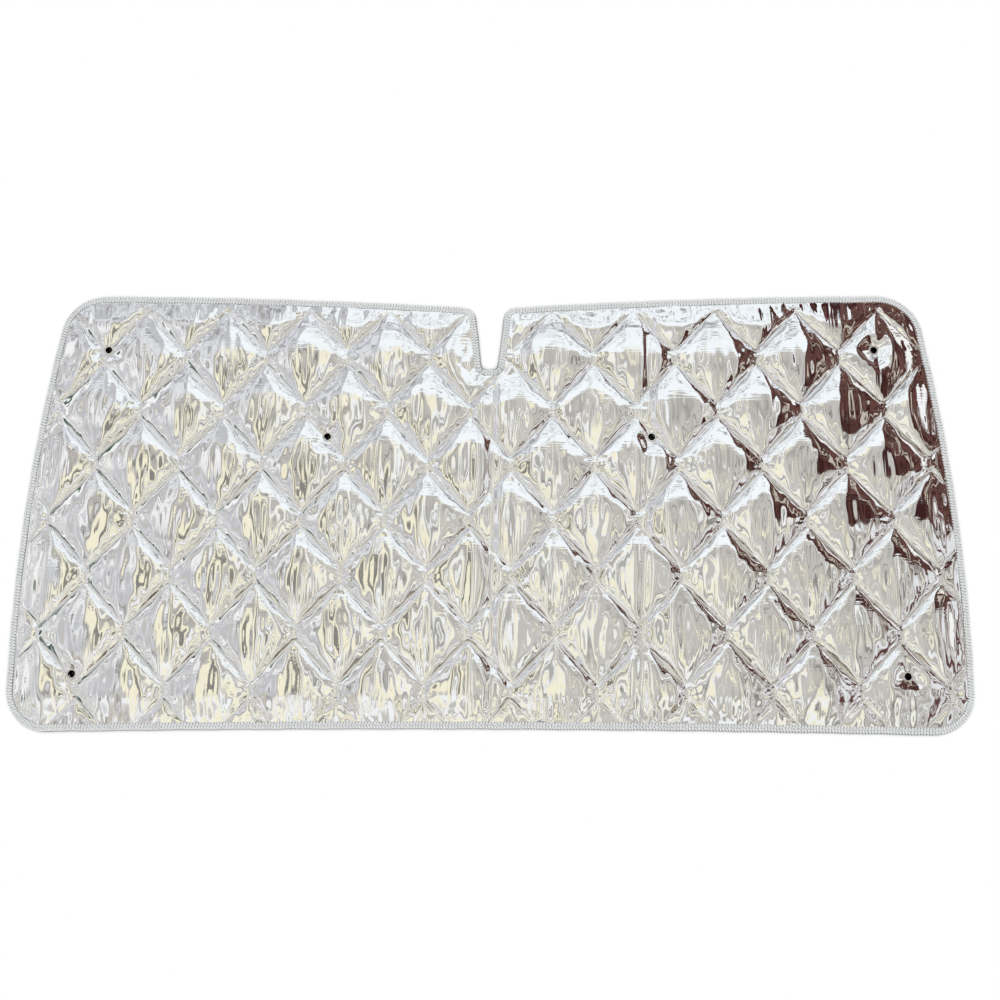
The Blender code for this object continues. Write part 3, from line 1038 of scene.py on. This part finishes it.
@dataclass
class FoilFacing:
    """The quilted film: cut too full, so that it buckles between its seams."""

    plan: Plan
    finish: MirrorFilm = field(default_factory=MirrorFilm)
    columns: int = 9
    bands: int = 15
    film: float = 0.0004
    spare_across: float = 1.012
    spare_along: float = 1.005
    closing: int = 9
    frames: int = 16
    backing: float = 0.50
    bending: float = 5.0
    reach: float = 0.0055
    held_edge: float = 0.0005
    cloth: tuple = (("quality", 5), ("mass", 0.02), ("air_damping", 1.0), ("tension_stiffness", 40),
                    ("compression_stiffness", 40), ("shear_stiffness", 10), ("tension_damping", 1.0),
                    ("compression_damping", 1.0), ("shear_damping", 1.0), ("pin_stiffness", 1.0))
    plumpness: float = 1.10
    uneven: float = 0.35
    slack: float = 0.0036
    jitter: float = 0.0002
    fold_depth: float = 0.0005
    streak_depth: float = 0.00014
    comb_depth: float = 0.00012
    crumple_depth: float = 0.0014
    tip_reach: float = 0.016
    rim_reach: float = 0.026
    rim_share: float = 0.45
    collar_reach: float = 0.020
    collar_start: float = 0.004
    binding_clear: tuple = (0.001, 0.010)
    seam_clear: float = 0.008
    everywhere: float = 0.03
    crumple_level: float = 0.7
    least_streaked: float = 0.15
    middle_gain: float = 2.2
    middle_start: float = 0.7
    combs_end: float = 0.62
    streaks_start: float = 0.30
    halves_blend: float = 0.4
    sway: float = 0.006
    uneven_noise: Ripple = Ripple(7, 6, 4)
    slack_noise: Ripple = Ripple(11, 8, 5)
    jitter_noise: Ripple = Ripple(95, 22, 6)
    sway_noise: Ripple = Ripple(14, 9, 21)
    fold_noise: Ripple = Ripple(40, 4.5, 22)
    streak_noise: Ripple = Ripple(90, 7.5, 23)
    comb_noise: Ripple = Ripple(13, 100, 24)
    crumple_noise: Ripple = Ripple(85, 85, 26)
    grain_noise: Ripple = Ripple(160, 160, 27)
    grain_share: float = 0.6
    slack_start: float = 0.25
    rim_stride: int = 3
    creases: tuple = (Crease(0.004, 0.0, -0.0034, 0.007), Crease(-0.018, 0.03, 0.0024, 0.009),
                      Crease(0.232, 0.05, -0.0030, 0.007), Crease(0.262, -0.02, 0.0022, 0.009))

    @property
    def seam_z(self) -> float:
        """Return the film's height along the seams."""
        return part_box("foil_face")[0].z + self.film

    @property
    def rise(self) -> float:
        """Return how far a full diamond stands above its seams."""
        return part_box("foil_face")[1].z - self.seam_z

    def start(self, grid: Grid) -> Array:
        """Lay the film out before it buckles.

        Args:
            grid: The film's grid.

        Returns:
            Its points, one row each.
        """
        x, y = grid.points.T
        folds = sum(crease.height(grid.points) for crease in self.creases)
        uneven = (1 + self.uneven * self.uneven_noise.value(x, y)) * grid.lift
        slack = self.slack * grid.lift * self.slack_noise.value(x, y) + self.jitter * self.jitter_noise.value(x, y)
        loose = ease(grid.fullness / self.slack_start) * (folds + slack)
        return np.column_stack([grid.points, self.seam_z + self.rise * self.plumpness * uneven + loose])

    def buckle(self, piece: bpy.types.Object, grid: Grid, start: Array) -> None:
        """Let the spare film buckle between the seams as cloth.

        Args:
            piece: The film.
            grid: Its grid, which says what the seams hold.
            start: Its points before.
        """
        held = grid.on_seam | (grid.edge_depth < self.held_edge) | (grid.land_gap < 0)
        group = piece.vertex_groups.new(name="held")
        group.add(np.flatnonzero(held).tolist(), 1.0, "REPLACE")
        group.add(np.flatnonzero(~held).tolist(), self.backing, "REPLACE")
        piece.shape_key_add(name="as_laid")
        cut = piece.shape_key_add(name="as_cut")
        cut.data.foreach_set("co", (start * (self.spare_across, self.spare_along, 1.0)).ravel())
        for value, number in ((1.0, 1), (0.0, self.closing)):
            cut.value = value
            cut.keyframe_insert("value", frame=number)
        cloth = piece.modifiers.new("film", "CLOTH")
        for name, value in (*self.cloth, ("bending_stiffness", self.bending), ("vertex_group_mass", "held")):
            setattr(cloth.settings, name, value)
        cloth.settings.effector_weights.gravity = 0.0
        cloth.collision_settings.use_collision = False
        cloth.collision_settings.use_self_collision = False
        action = piece.data.shape_keys.animation_data.action
        scene = bpy.context.scene
        for number in range(1, self.frames + 1):
            scene.frame_set(number)
        apply_modifiers(piece)
        bpy.data.actions.remove(action)
        scene.frame_set(1)

    def hold(self, verts: Array, start: Array, grid: Grid) -> Array:
        """Keep the buckled film near its place and clear of the wadding.

        Args:
            verts: Points after the buckling.
            start: Points before it.
            grid: The film's grid; not used.

        Returns:
            The points, none further from its start than the reach.
        """
        move = verts - start
        length = np.linalg.norm(move, axis=1, keepdims=True)
        move *= np.minimum(1.0, self.reach / (length + 1e-9))
        verts = start + move
        highest = self.seam_z + self.rise * self.plumpness + self.reach
        verts[:, 2] = np.clip(verts[:, 2], self.seam_z - self.film, highest)
        return verts

    def keep_seams(self, piece: bpy.types.Object, grid: Grid) -> None:
        """Crease the mesh along the seams, so that smoothing leaves the stitched valleys sharp.

        Args:
            piece: The film.
            grid: Its grid.
        """
        mesh = piece.data
        ends = np.empty(len(mesh.edges) * 2, dtype=int)
        mesh.edges.foreach_get("vertices", ends)
        stitched = grid.on_seam[ends.reshape(-1, 2)].all(axis=1)
        crease = mesh.attributes.new("crease_edge", "FLOAT", "EDGE")
        crease.data.foreach_set("value", stitched.astype(np.float32))

    def wrinkle(self, piece: bpy.types.Object) -> None:
        """Press sharp wrinkles into the dense mesh: long ones down the cloth, combs and crumples at the tips.

        Args:
            piece: The film, which also gets the shares of streaks and combs that its finish reads.
        """
        verts, plan, quilt = positions(piece.data), self.plan, self.plan.quilting
        x, y = verts[:, 0], verts[:, 1]
        height = y - plan.base_y
        depth, _ = depth_inside(verts[:, :2], plan.quilt_edge[::self.rim_stride])
        loose = ease((depth - self.binding_clear[0]) / self.binding_clear[1])
        tip = np.exp(-(quilt.tip_distance(x, height) / self.tip_reach) ** 2)
        eyelet = plan.eyelet_distance(verts[:, :2])
        collar = ease((eyelet - plan.land_radius) / self.collar_start) * np.exp(-(eyelet / self.collar_reach) ** 2)
        rim = self.rim_share * np.exp(-(depth / self.rim_reach) ** 2)
        share, span = quilt.between(x, height)
        clear = ease(np.minimum(share, 1 - share) * span / self.seam_clear)
        middle = ease(span / quilt.diamond_height * self.middle_gain - self.middle_start)
        upper = ease((self.combs_end - share) / self.halves_blend)
        lower = ease((share - self.streaks_start) / self.halves_blend)
        sway = self.sway * self.sway_noise.value(x, y)
        streaked = self.least_streaked + lower * middle
        combed = upper * (self.least_streaked + (1 - self.least_streaked) * middle)
        relief = self.fold_depth * (self.fold_noise.ridge(x + sway, y) - 0.5)
        relief += self.streak_depth * self.streak_noise.ridge(x + sway, y) * streaked
        relief += self.comb_depth * self.comb_noise.ridge(x, y + sway) * combed
        crumples = self.crumple_noise.ridge(x, y) + self.grain_share * self.grain_noise.ridge(x, y)
        crumpled = self.everywhere + np.max([tip, collar, rim], axis=0)
        verts[:, 2] += loose * (clear * relief + self.crumple_depth * (crumples - self.crumple_level) * crumpled)
        set_positions(piece.data, verts)
        for name, share in (("streaked", streaked * loose * clear), ("combed", combed * loose * clear)):
            piece.data.attributes.new(name, "FLOAT", "POINT").data.foreach_set("value", share.astype(np.float32))

    def build(self) -> bpy.types.Object:
        """Return the finished film."""
        grid = self.plan.grid(self.columns, self.bands)
        start = self.start(grid)
        piece = mesh_object("foil_facing", start, grid.faces)
        self.buckle(piece, grid, start)
        set_positions(piece.data, self.hold(positions(piece.data), start, grid))
        self.keep_seams(piece, grid)
        piece.modifiers.new("finer", "SUBSURF").levels = 1
        piece.modifiers["finer"].render_levels = 1
        apply_modifiers(piece)
        self.wrinkle(piece)
        piece.data.shade_smooth()
        enter(piece, self.finish.build(), "foil_face")
        return piece


@dataclass
class WaddingCore:
    """The bonded wadding between film and lining."""

    plan: Plan
    finish: BondedWadding = field(default_factory=BondedWadding)
    columns: int = 7
    bands: int = 11
    top_share: float = 0.62
    film_gap: float = 0.0008
    lining_gap: float = 0.0002
    fill: float = 0.35

    def build(self) -> bpy.types.Object:
        """Return the finished wadding."""
        grid = self.plan.grid(self.columns, self.bands)
        top_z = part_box("foil_face")[0].z - self.film_gap
        rise = (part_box("wadding")[1].z - top_z) * self.top_share
        top = np.column_stack([grid.points, top_z + rise * grid.lift])
        bottom = top.copy()
        bottom[:, 2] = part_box("lining")[1].z + self.lining_gap
        piece = mesh_object("wadding_core", *closed_layer(top, bottom, grid.faces))
        enter(piece, self.finish.build(), "wadding")
        return piece


@dataclass
class LiningCloth:
    """The plain lining, which dips to the floor under each diamond."""

    plan: Plan
    finish: PlainWeave = field(default_factory=PlainWeave)
    columns: int = 8
    bands: int = 12
    cloth: float = 0.0005
    floor_clear: float = 0.0001
    pucker: float = 0.00070
    pucker_gain: float = 6.0
    dip_end: float = 0.8
    pucker_noise: Ripple = Ripple(70, 60, 31)

    def build(self) -> bpy.types.Object:
        """Return the finished lining."""
        grid = self.plan.grid(self.columns, self.bands)
        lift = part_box("lining")[1].z - self.cloth
        wave = self.pucker * self.pucker_noise.value(*grid.points.T) * ease(grid.fullness * self.pucker_gain)
        low = np.maximum(lift * (1 - ease(grid.fullness / self.dip_end)) + wave, self.floor_clear)
        bottom = np.column_stack([grid.points, low])
        top = bottom + (0, 0, self.cloth)
        piece = mesh_object("lining_cloth", *closed_layer(top, bottom, grid.faces))
        enter(piece, self.finish.build(), "lining")
        return piece


def closed_layer(top: Array, bottom: Array, faces: list) -> tuple[Array, list]:
    """Join a top and a bottom skin into one closed body.

    Args:
        top: Points of the upper skin.
        bottom: The points below them, in the same order.
        faces: Faces of the upper skin.

    Returns:
        The points and faces of the body.
    """
    count = len(top)
    sides = dict.fromkeys(pair for face in faces for pair in zip(face, face[1:] + face[:1]))
    under = [[corner + count for corner in reversed(face)] for face in faces]
    walls = [[after, here, here + count, after + count] for here, after in sides
             if here != after and (after, here) not in sides]
    return np.concatenate([top, bottom]), faces + under + walls


@dataclass
class EdgeBinding:
    """The overlocked edge: a padded band, a row of loops round the rim and threads across both faces."""

    plan: Plan
    width: float = 0.0085
    wall: float = 0.0011
    loop_pitch: float = 0.0043
    loop_thread: float = 0.00074
    bar_thread: float = 0.00062
    wobble: float = 0.0005
    thread_sides: int = 5
    section_steps: int = 9
    band_step: float = 0.003
    loop_start: float = math.radians(78)
    loop_sweep: float = math.radians(236)
    loop_slant: float = 1.7
    loop_depth: float = 0.0030
    loop_lean: float = 0.0012
    loop_points: int = 7
    loop_clear: float = 0.0002
    loop_room: float = 0.0004
    second_thread: tuple = (0.28, 0.96)
    bars_per_loop: int = 2
    bar_slants: tuple = (1.0, 0.4)
    bar_start: float = 0.0036
    bar_past: float = 0.0004
    bar_points: int = 4
    bar_droop: float = 0.16
    bar_sunk: float = 0.0001
    lip_share: float = 0.86
    long_wave: float = 0.083
    short_wave: float = 0.031
    short_share: float = 0.5
    short_shift: float = 1.3
    cream: tuple = (0.92, 0.94, 0.94)
    shade: tuple = (0.80, 0.83, 0.83)
    # The band's grey tones are painted shade: they make the gaps between the loops and bars read dark.
    band_shade_light: tuple = (0.60, 0.61, 0.61)
    band_shade_dark: tuple = (0.24, 0.25, 0.25)

    def __post_init__(self) -> None:
        """Measure the rim and the band's height once."""
        low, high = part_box("edge_binding")
        self.low_z, self.high_z = low.z, high.z
        self.middle_z = (low.z + high.z) / 2
        rim = self.plan.rim
        step = np.linalg.norm(np.roll(rim, -1, axis=0) - rim, axis=1)
        self.length = float(step.sum())
        self.run = np.concatenate([[0.0], np.cumsum(step)])
        self.closed = np.vstack([rim, rim[:1]])
        self.inwards = np.vstack([side_normals(rim), side_normals(rim)[:1]])

    def at(self, along: Array) -> tuple[Array, Array]:
        """Find places on the rim.

        Args:
            along: Distances along the rim.

        Returns:
            The rim's points there and its inward normals.
        """
        along = np.asarray(along) % self.length
        spot = np.stack([np.interp(along, self.run, self.closed[:, axis]) for axis in (0, 1)], axis=-1)
        inwards = np.stack([np.interp(along, self.run, self.inwards[:, axis]) for axis in (0, 1)], axis=-1)
        inwards /= np.linalg.norm(inwards, axis=-1, keepdims=True)
        turn = along * 2 * math.pi
        wave = np.sin(turn / self.long_wave) + np.sin(turn / self.short_wave + self.short_shift) * self.short_share
        return spot + inwards * (self.wobble * (1 + wave) * 0.5)[..., None], inwards

    def raised(self, along: Array, depth: Array, height: Array) -> Array:
        """Return points of the row frame by distance along the rim, depth inside it and height."""
        along, depth, height = np.broadcast_arrays(along, depth, height)
        spot, inwards = self.at(along)
        return np.concatenate([spot + inwards * depth[..., None], height[..., None]], axis=-1)

    def band(self) -> bpy.types.Object:
        """Return the padded band under the threads, a C that holds both faces."""
        turn = np.linspace(math.pi / 2, 3 * math.pi / 2, self.section_steps)
        half = (self.high_z - self.low_z) / 2
        depth, height = [], []
        inner = half - self.wall
        for reach, lip, way in ((half, half * self.lip_share, turn), (inner, -inner, turn[::-1])):
            depth += [[self.width], half + reach * np.cos(way), [self.width]]
            height += [[lip], reach * np.sin(way), [-lip]]
        depth, height = np.concatenate(depth), self.middle_z + np.concatenate(height)
        count = round(self.length / self.band_step)
        along = np.arange(count) * self.length / count
        verts = self.raised(along[:, None], depth, height).reshape(-1, 3)
        return mesh_object("binding_band", verts, ring_faces(count, len(depth)))

    def loops(self) -> bpy.types.Object:
        """Return the slanted loops that lie round the rim, two threads each."""
        count = round(self.length / self.loop_pitch)
        pitch = self.length / count
        start = np.arange(count)[:, None] * pitch
        share = np.linspace(0, 1, self.loop_points)[None, :]
        paths = []
        for offset, swell in ((0.0, 1.0), self.second_thread):
            turn = self.loop_start - share * self.loop_sweep
            half = (self.high_z - self.low_z) / 2 * swell + self.loop_clear
            lean = (1 - np.sin(math.pi * share)) * self.loop_lean
            depth = self.loop_depth - (half + self.loop_room) * np.cos(turn) + lean
            along = start + (offset + share * self.loop_slant) * pitch
            paths.append(self.raised(along, depth, self.middle_z + half * np.sin(turn)))
        paths = np.concatenate(paths)
        run = paths[:, -1] - paths[:, 0]
        run[:, 2] = 0
        return mesh_object("overlock_loops", *tubes(paths, run, self.loop_thread, self.thread_sides))

    def bars(self, side: Side) -> bpy.types.Object:
        """Return the threads that cross one face of the band.

        Args:
            side: The face they lie on.

        Returns:
            The threads as one piece.
        """
        count = round(self.length / self.loop_pitch) * self.bars_per_loop
        pitch = self.length / count
        share = np.linspace(0, 1, self.bar_points)
        slant = np.resize(self.bar_slants, count)
        along = (np.arange(count)[:, None] + slant[:, None] * share) * pitch
        depth = self.bar_start + share * (self.width - self.bar_start + self.bar_past)
        drop = (self.high_z - self.middle_z) * (1 - self.bar_droop * share ** 2) - self.bar_sunk
        paths = self.raised(along, depth, self.middle_z + side.value * drop)
        swept = tubes(paths, UP, self.bar_thread, self.thread_sides)
        return mesh_object(f"overlock_bars_{side.name.lower()}", *swept)

    def build(self) -> list[bpy.types.Object]:
        """Return the finished pieces of the edge."""
        thread = TwistedThread("overlock_thread", self.cream, self.shade).build()
        # The band's material is the thread finish in darker grey tones, painted shade between the threads.
        band_shade = TwistedThread("binding_band_shade", self.band_shade_light, self.band_shade_dark).build()
        band = self.band()
        pieces = [band, self.loops(), self.bars(Side.FACE), self.bars(Side.BACK)]
        for piece in pieces:
            enter(piece, band_shade if piece is band else thread, "edge_binding" if piece is band else "")
        return pieces


@dataclass
class QuiltingThread:
    """The lockstitches of the eight zigzag seams, on both faces."""

    plan: Plan
    stitch: float = 0.0040
    gap: float = 0.0007
    thread: float = 0.00034
    sides: int = 4
    points: int = 4
    bulge: float = 1.6
    sunk: float = 0.9
    under_binding: float = 0.003
    face_gap: float = 0.0004
    back_gap: float = -0.0005
    light: tuple = (0.86, 0.86, 0.84)
    shade: tuple = (0.50, 0.50, 0.49)

    def seam_path(self, row: int) -> Array:
        """Return the corners of one seam across the whole blind."""
        x = self.plan.columns()
        return np.column_stack([x, self.plan.seam(row, x)])

    def stitches(self, height: float, side: Side) -> Array:
        """Return the stitches' paths.

        Args:
            height: Height of the cloth along the seams.
            side: The face they lie on.

        Returns:
            Points of each stitch, which dips into the cloth at its ends.
        """
        starts, ends = [], []
        for row in self.plan.quilting.rows:
            path = self.seam_path(row)
            for here, after in zip(path[:-1], path[1:]):
                length = np.linalg.norm(after - here)
                count = max(1, round(length / self.stitch))
                share = np.arange(count)[:, None] / count
                half_gap = self.gap / 2 / length
                starts.append(here + (after - here) * (share + half_gap))
                ends.append(here + (after - here) * (share + 1 / count - half_gap))
        starts, ends = np.concatenate(starts), np.concatenate(ends)
        middle = (starts + ends) / 2
        depth, _ = depth_inside(middle, self.plan.quilt_edge)
        keep = (depth > -self.under_binding) & (self.plan.eyelet_distance(middle) > self.plan.land_radius)
        share = np.linspace(0, 1, self.points)[None, :, None]
        flat = starts[keep][:, None, :] + (ends - starts)[keep][:, None, :] * share
        bulge = self.thread * (np.sin(math.pi * share[..., 0]) * self.bulge - self.sunk)
        z = height + side.value * np.broadcast_to(bulge, flat.shape[:2])
        return np.concatenate([flat, z[..., None]], axis=-1)

    def build(self) -> list[bpy.types.Object]:
        """Return the stitches of both faces."""
        thread = TwistedThread("quilting_thread", self.light, self.shade).build()
        heights = {Side.FACE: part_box("foil_face")[0].z + self.face_gap,
                   Side.BACK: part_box("lining")[1].z + self.back_gap}
        pieces = []
        for side, height in heights.items():
            swept = tubes(self.stitches(height, side), UP, self.thread, self.sides)
            pieces.append(mesh_object(f"quilting_thread_{side.name.lower()}", *swept))
            enter(pieces[-1], thread)
        return pieces


@dataclass
class Eyelet:
    """One eyelet: a rolled flange and barrel from the face, and the washer it is set over."""

    place: Place
    finish: bpy.types.Material
    bore: float = 0.00475
    wall: float = 0.0005
    flange: float = 0.0025
    # How far past the bore's radius the painted bore shade reaches.
    bore_shade_reach: float = 0.0004
    sides: int = 64
    crown: float = 0.0011
    crown_steps: int = 7
    crown_start: float = math.radians(150)
    crown_power: float = 0.8
    mouth: tuple = ((0.0, -0.0013), (0.0002, -0.0005))
    flange_edge: tuple = ((0.0, 0.00015), (-0.0001, 0.0))
    neck: tuple = ((0.0003, 0.0), (0.0, -0.0003))
    rolled_lip: tuple = ((0.0, 0.0011), (0.0009, 0.0009), (0.0016, 0.0007), (0.0017, 0.0003), (0.0012, 0.0),
                         (0.0003, 0.00005))
    barrel_end: tuple = ((0.0001, 0.0004), (0.0, 0.0009))
    washer_bevel: float = 0.0003
    washer_clear: float = 0.0001
    washer_dish: tuple = (0.00015, 0.0001)

    def turned(self, name: str, profile: Sequence[tuple[float, float]], stands_for: str) -> bpy.types.Object:
        """Turn a closed profile about the eyelet's axis.

        Args:
            name: The piece's name.
            profile: Radius and height of each corner, anticlockwise.
            stands_for: The CAD node it takes the place of.

        Returns:
            The piece.
        """
        centre = self.place.centre
        turn = np.linspace(0, 2 * math.pi, self.sides, endpoint=False)
        shape = np.array(profile)
        radius, height = np.broadcast_arrays(*shape.T, turn[:, None])[:2]
        verts = np.stack([centre[0] + radius * np.cos(turn)[:, None], centre[1] + radius * np.sin(turn)[:, None],
                          height], axis=-1).reshape(-1, 3)
        piece = mesh_object(name, verts, [face[::-1] for face in ring_faces(self.sides, len(shape))])
        # Mark the bore and its mouth for the painted shade that the nickel finish turns near black.
        bore_shaded = np.tile(shape[:, 0] < self.bore + self.bore_shade_reach, self.sides).astype(np.float32)
        piece.data.attributes.new("bore_shaded", "FLOAT", "POINT").data.foreach_set("value", bore_shaded)
        enter(piece, self.finish, stands_for)
        return piece

    def shell_profile(self) -> list[tuple[float, float]]:
        """Return the section of flange, barrel and the lip rolled over the washer."""
        low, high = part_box(f"eyelet_{self.place.value}")
        seat, outer = high.z - self.crown, self.bore + self.wall
        rim = outer + self.flange
        middle, half = (self.bore + rim) / 2, (rim - self.bore) / 2
        arc = np.linspace(self.crown_start, 0, self.crown_steps)[1:-1]
        dome = [(middle + half * math.cos(angle), seat + self.crown * math.sin(angle) ** self.crown_power)
                for angle in arc]
        runs = ((self.bore, high.z, self.mouth), (0.0, 0.0, dome), (rim, seat, self.flange_edge),
                (outer, seat, self.neck), (outer, low.z, self.rolled_lip), (self.bore, low.z, self.barrel_end))
        return [(radius + out, height + up) for radius, height, run in runs for out, up in run][::-1]

    def washer_profile(self) -> list[tuple[float, float]]:
        """Return the washer's section, slightly dished."""
        low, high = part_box(f"eyelet_washer_{self.place.value}")
        inner = self.bore + self.wall + self.washer_clear
        outer = (high.x - low.x) / 2
        bevel = outer - self.washer_bevel
        return [(inner, low.z), (bevel, low.z), (outer, low.z + self.washer_dish[0]),
                (outer, high.z - self.washer_dish[1]), (bevel, high.z), (inner, high.z)]

    def build(self) -> list[bpy.types.Object]:
        """Return the finished shell and washer."""
        spot = self.place.value
        return [self.turned(f"eyelet_shell_{spot}", self.shell_profile(), f"eyelet_{spot}"),
                self.turned(f"eyelet_ring_{spot}", self.washer_profile(), f"eyelet_washer_{spot}")]


# Studio


@dataclass(frozen=True)
class Studio:
    """The floor, the cards that the film mirrors, the world and the camera."""

    floor_size: float = 14.0
    world_white: float = 1.0
    world_light: float = 1.0
    lens: float = 30.6
    film_width: float = 36.0
    nearest: float = 0.05
    camera_spot: tuple = (0.0276, -0.2086, 1.2497)
    camera_aim: tuple = (0.0164, 0.0087, 0.0)
    lean: float = math.radians(0.18)
    cards: tuple = (
        StudioCard("ceiling_card", (0.4, -0.95, 2.5), (4.0, 4.56), (0.60, 0.58, 0.545), (
            Marks((0.48, 0.465, 0.44), (1.8, 0.45), (0.48, 0.60)),
            Marks((0.27, 0.26, 0.24), (6.2, 0.35), (0.60, 0.615)),
            Marks((1.0, 0.95, 0.74), (4.4, 0.32), (0.535, 0.55), (0.0, -0.05)),
            Marks((0.97, 0.99, 1.0), (5.2, 0.40), (0.55, 0.565)))),
        StudioCard("left_card", (-3.4, -0.8, 2.5), (3.6, 5.2), (0.58, 0.585, 0.62), (
            Marks((0.74, 0.75, 0.79), (1.8, 0.7), (0.44, 0.56)),
            Marks((0.62, 0.575, 0.51), (3.0, 0.6), (0.52, 0.55)),
            Marks((0.97, 0.97, 0.96), (4.5, 0.7), (0.56, 0.58)),
            Marks((0.36, 0.36, 0.36), (4.0, 0.7), (0.60, 0.62)))),
        StudioCard("right_card", (3.9, -0.7, 2.5), (3.1, 5.2), (0.46, 0.42, 0.39), (
            Marks((0.84, 0.86, 0.88), (2.0, 0.6), (0.46, 0.54)),
            Marks((0.12, 0.055, 0.05), (2.5, 0.9), (0.55, 0.57)))),
        StudioCard("window_card", (1.05, 2.32, 2.5), (4.1, 2.08), (0.92, 0.97, 1.0), (
            Marks((0.74, 0.78, 0.82), (1.4, 2.0), (0.54, 0.60)),
            Marks((0.42, 0.43, 0.44), (1.6, 3.5), (0.61, 0.63))), 1.08),
        StudioCard("dusk_card", (-2.6, 2.3, 2.5), (3.2, 2.0), (0.58, 0.585, 0.61), (
            Marks((0.80, 0.83, 0.88), (1.6, 1.2), (0.50, 0.56)),
            Marks((0.38, 0.37, 0.36), (2.4, 1.2), (0.58, 0.61)))),
        StudioCard("back_card", (0.0, 3.6, 1.3), (8.0, 2.4), (0.36, 0.36, 0.37), (
            Marks((0.72, 0.74, 0.78), (1.2, 1.2), (0.46, 0.54)),
            Marks((0.92, 0.95, 1.0), (2.0, 2.0), (0.56, 0.60))), 1.0, False),
        StudioCard("maroon_card", (1.155, 0.60, 0.6), (0.75, 1.06), (0.050, 0.017, 0.016), (
            Marks((0.15, 0.070, 0.060), (8.0, 2.4), (0.44, 0.60)),
            Marks((0.60, 0.54, 0.46), (9.0, 2.4), (0.615, 0.63)))),
        StudioCard("front_skirt", (0.0, -2.9, 1.0), (6.5, 2.1), (0.12, 0.095, 0.08), (
            Marks((0.46, 0.40, 0.32), (1.5, 1.5), (0.42, 0.56)),), 1.0, False),
        StudioCard("left_skirt", (-3.6, 0.0, 0.6), (6.0, 1.4), (0.05, 0.10, 0.07), (
            Marks((0.34, 0.37, 0.35), (1.5, 1.5), (0.42, 0.56)),), 1.0, False),
        StudioCard("right_skirt", (4.0, 0.0, 0.6), (6.0, 1.4), (0.10, 0.06, 0.05), (
            Marks((0.50, 0.46, 0.42), (1.5, 1.5), (0.42, 0.56)),), 1.0, False),
    )

    def floor(self) -> bpy.types.Object:
        """Return the floor that the blind lies on."""
        floor = rectangle("floor", self.floor_size, self.floor_size)
        dress(floor, PaleFloor().build())
        return floor

    def world(self) -> None:
        """Set a world that shows white and lights softly."""
        graph = Graph("studio_white", world=True)
        level = graph.span(graph.shown(), (0.0, 1.0), (self.world_light, self.world_white))
        sky = graph.add("Background", {"Color": WHITE, "Strength": level})
        bpy.context.scene.world = graph.finish(sky.outputs["Background"])

    def camera(self) -> bpy.types.Object:
        """Return the camera, at the photograph's angle."""
        data = bpy.data.cameras.new("camera")
        data.lens, data.sensor_width, data.clip_start = self.lens, self.film_width, self.nearest
        camera = bpy.data.objects.new("camera", data)
        bpy.context.collection.objects.link(camera)
        spot = Vector(self.camera_spot)
        forward = (Vector(self.camera_aim) - spot).normalized()
        right = forward.cross(Vector((-math.sin(self.lean), math.cos(self.lean), 0))).normalized()
        up = right.cross(forward)
        camera.matrix_world = Matrix((right, up, -forward)).transposed().to_4x4()
        camera.location = spot
        bpy.context.scene.camera = camera
        return camera

    def build(self) -> None:
        """Set up the whole studio."""
        self.floor()
        self.world()
        for card in self.cards:
            card.build()
        self.camera()
        bpy.context.scene.view_settings.view_transform = "Standard"


def report(piece: bpy.types.Object) -> None:
    """Log a piece's name and how many faces it has."""
    LOG.info("%s: %d faces", piece.name, len(piece.data.polygons))


def main() -> None:
    """Build every piece in order."""
    logging.basicConfig(level=logging.INFO, format="%(message)s")
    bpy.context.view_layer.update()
    plan = Plan()
    Studio().build()
    nickel = NickelPlate().build()
    report(WaddingCore(plan).build())
    report(LiningCloth(plan).build())
    report(FoilFacing(plan).build())
    for piece in EdgeBinding(plan).build() + QuiltingThread(plan).build():
        report(piece)
    for place in Place:
        for piece in Eyelet(place, nickel).build():
            report(piece)


if __name__ == "__main__":
    main()
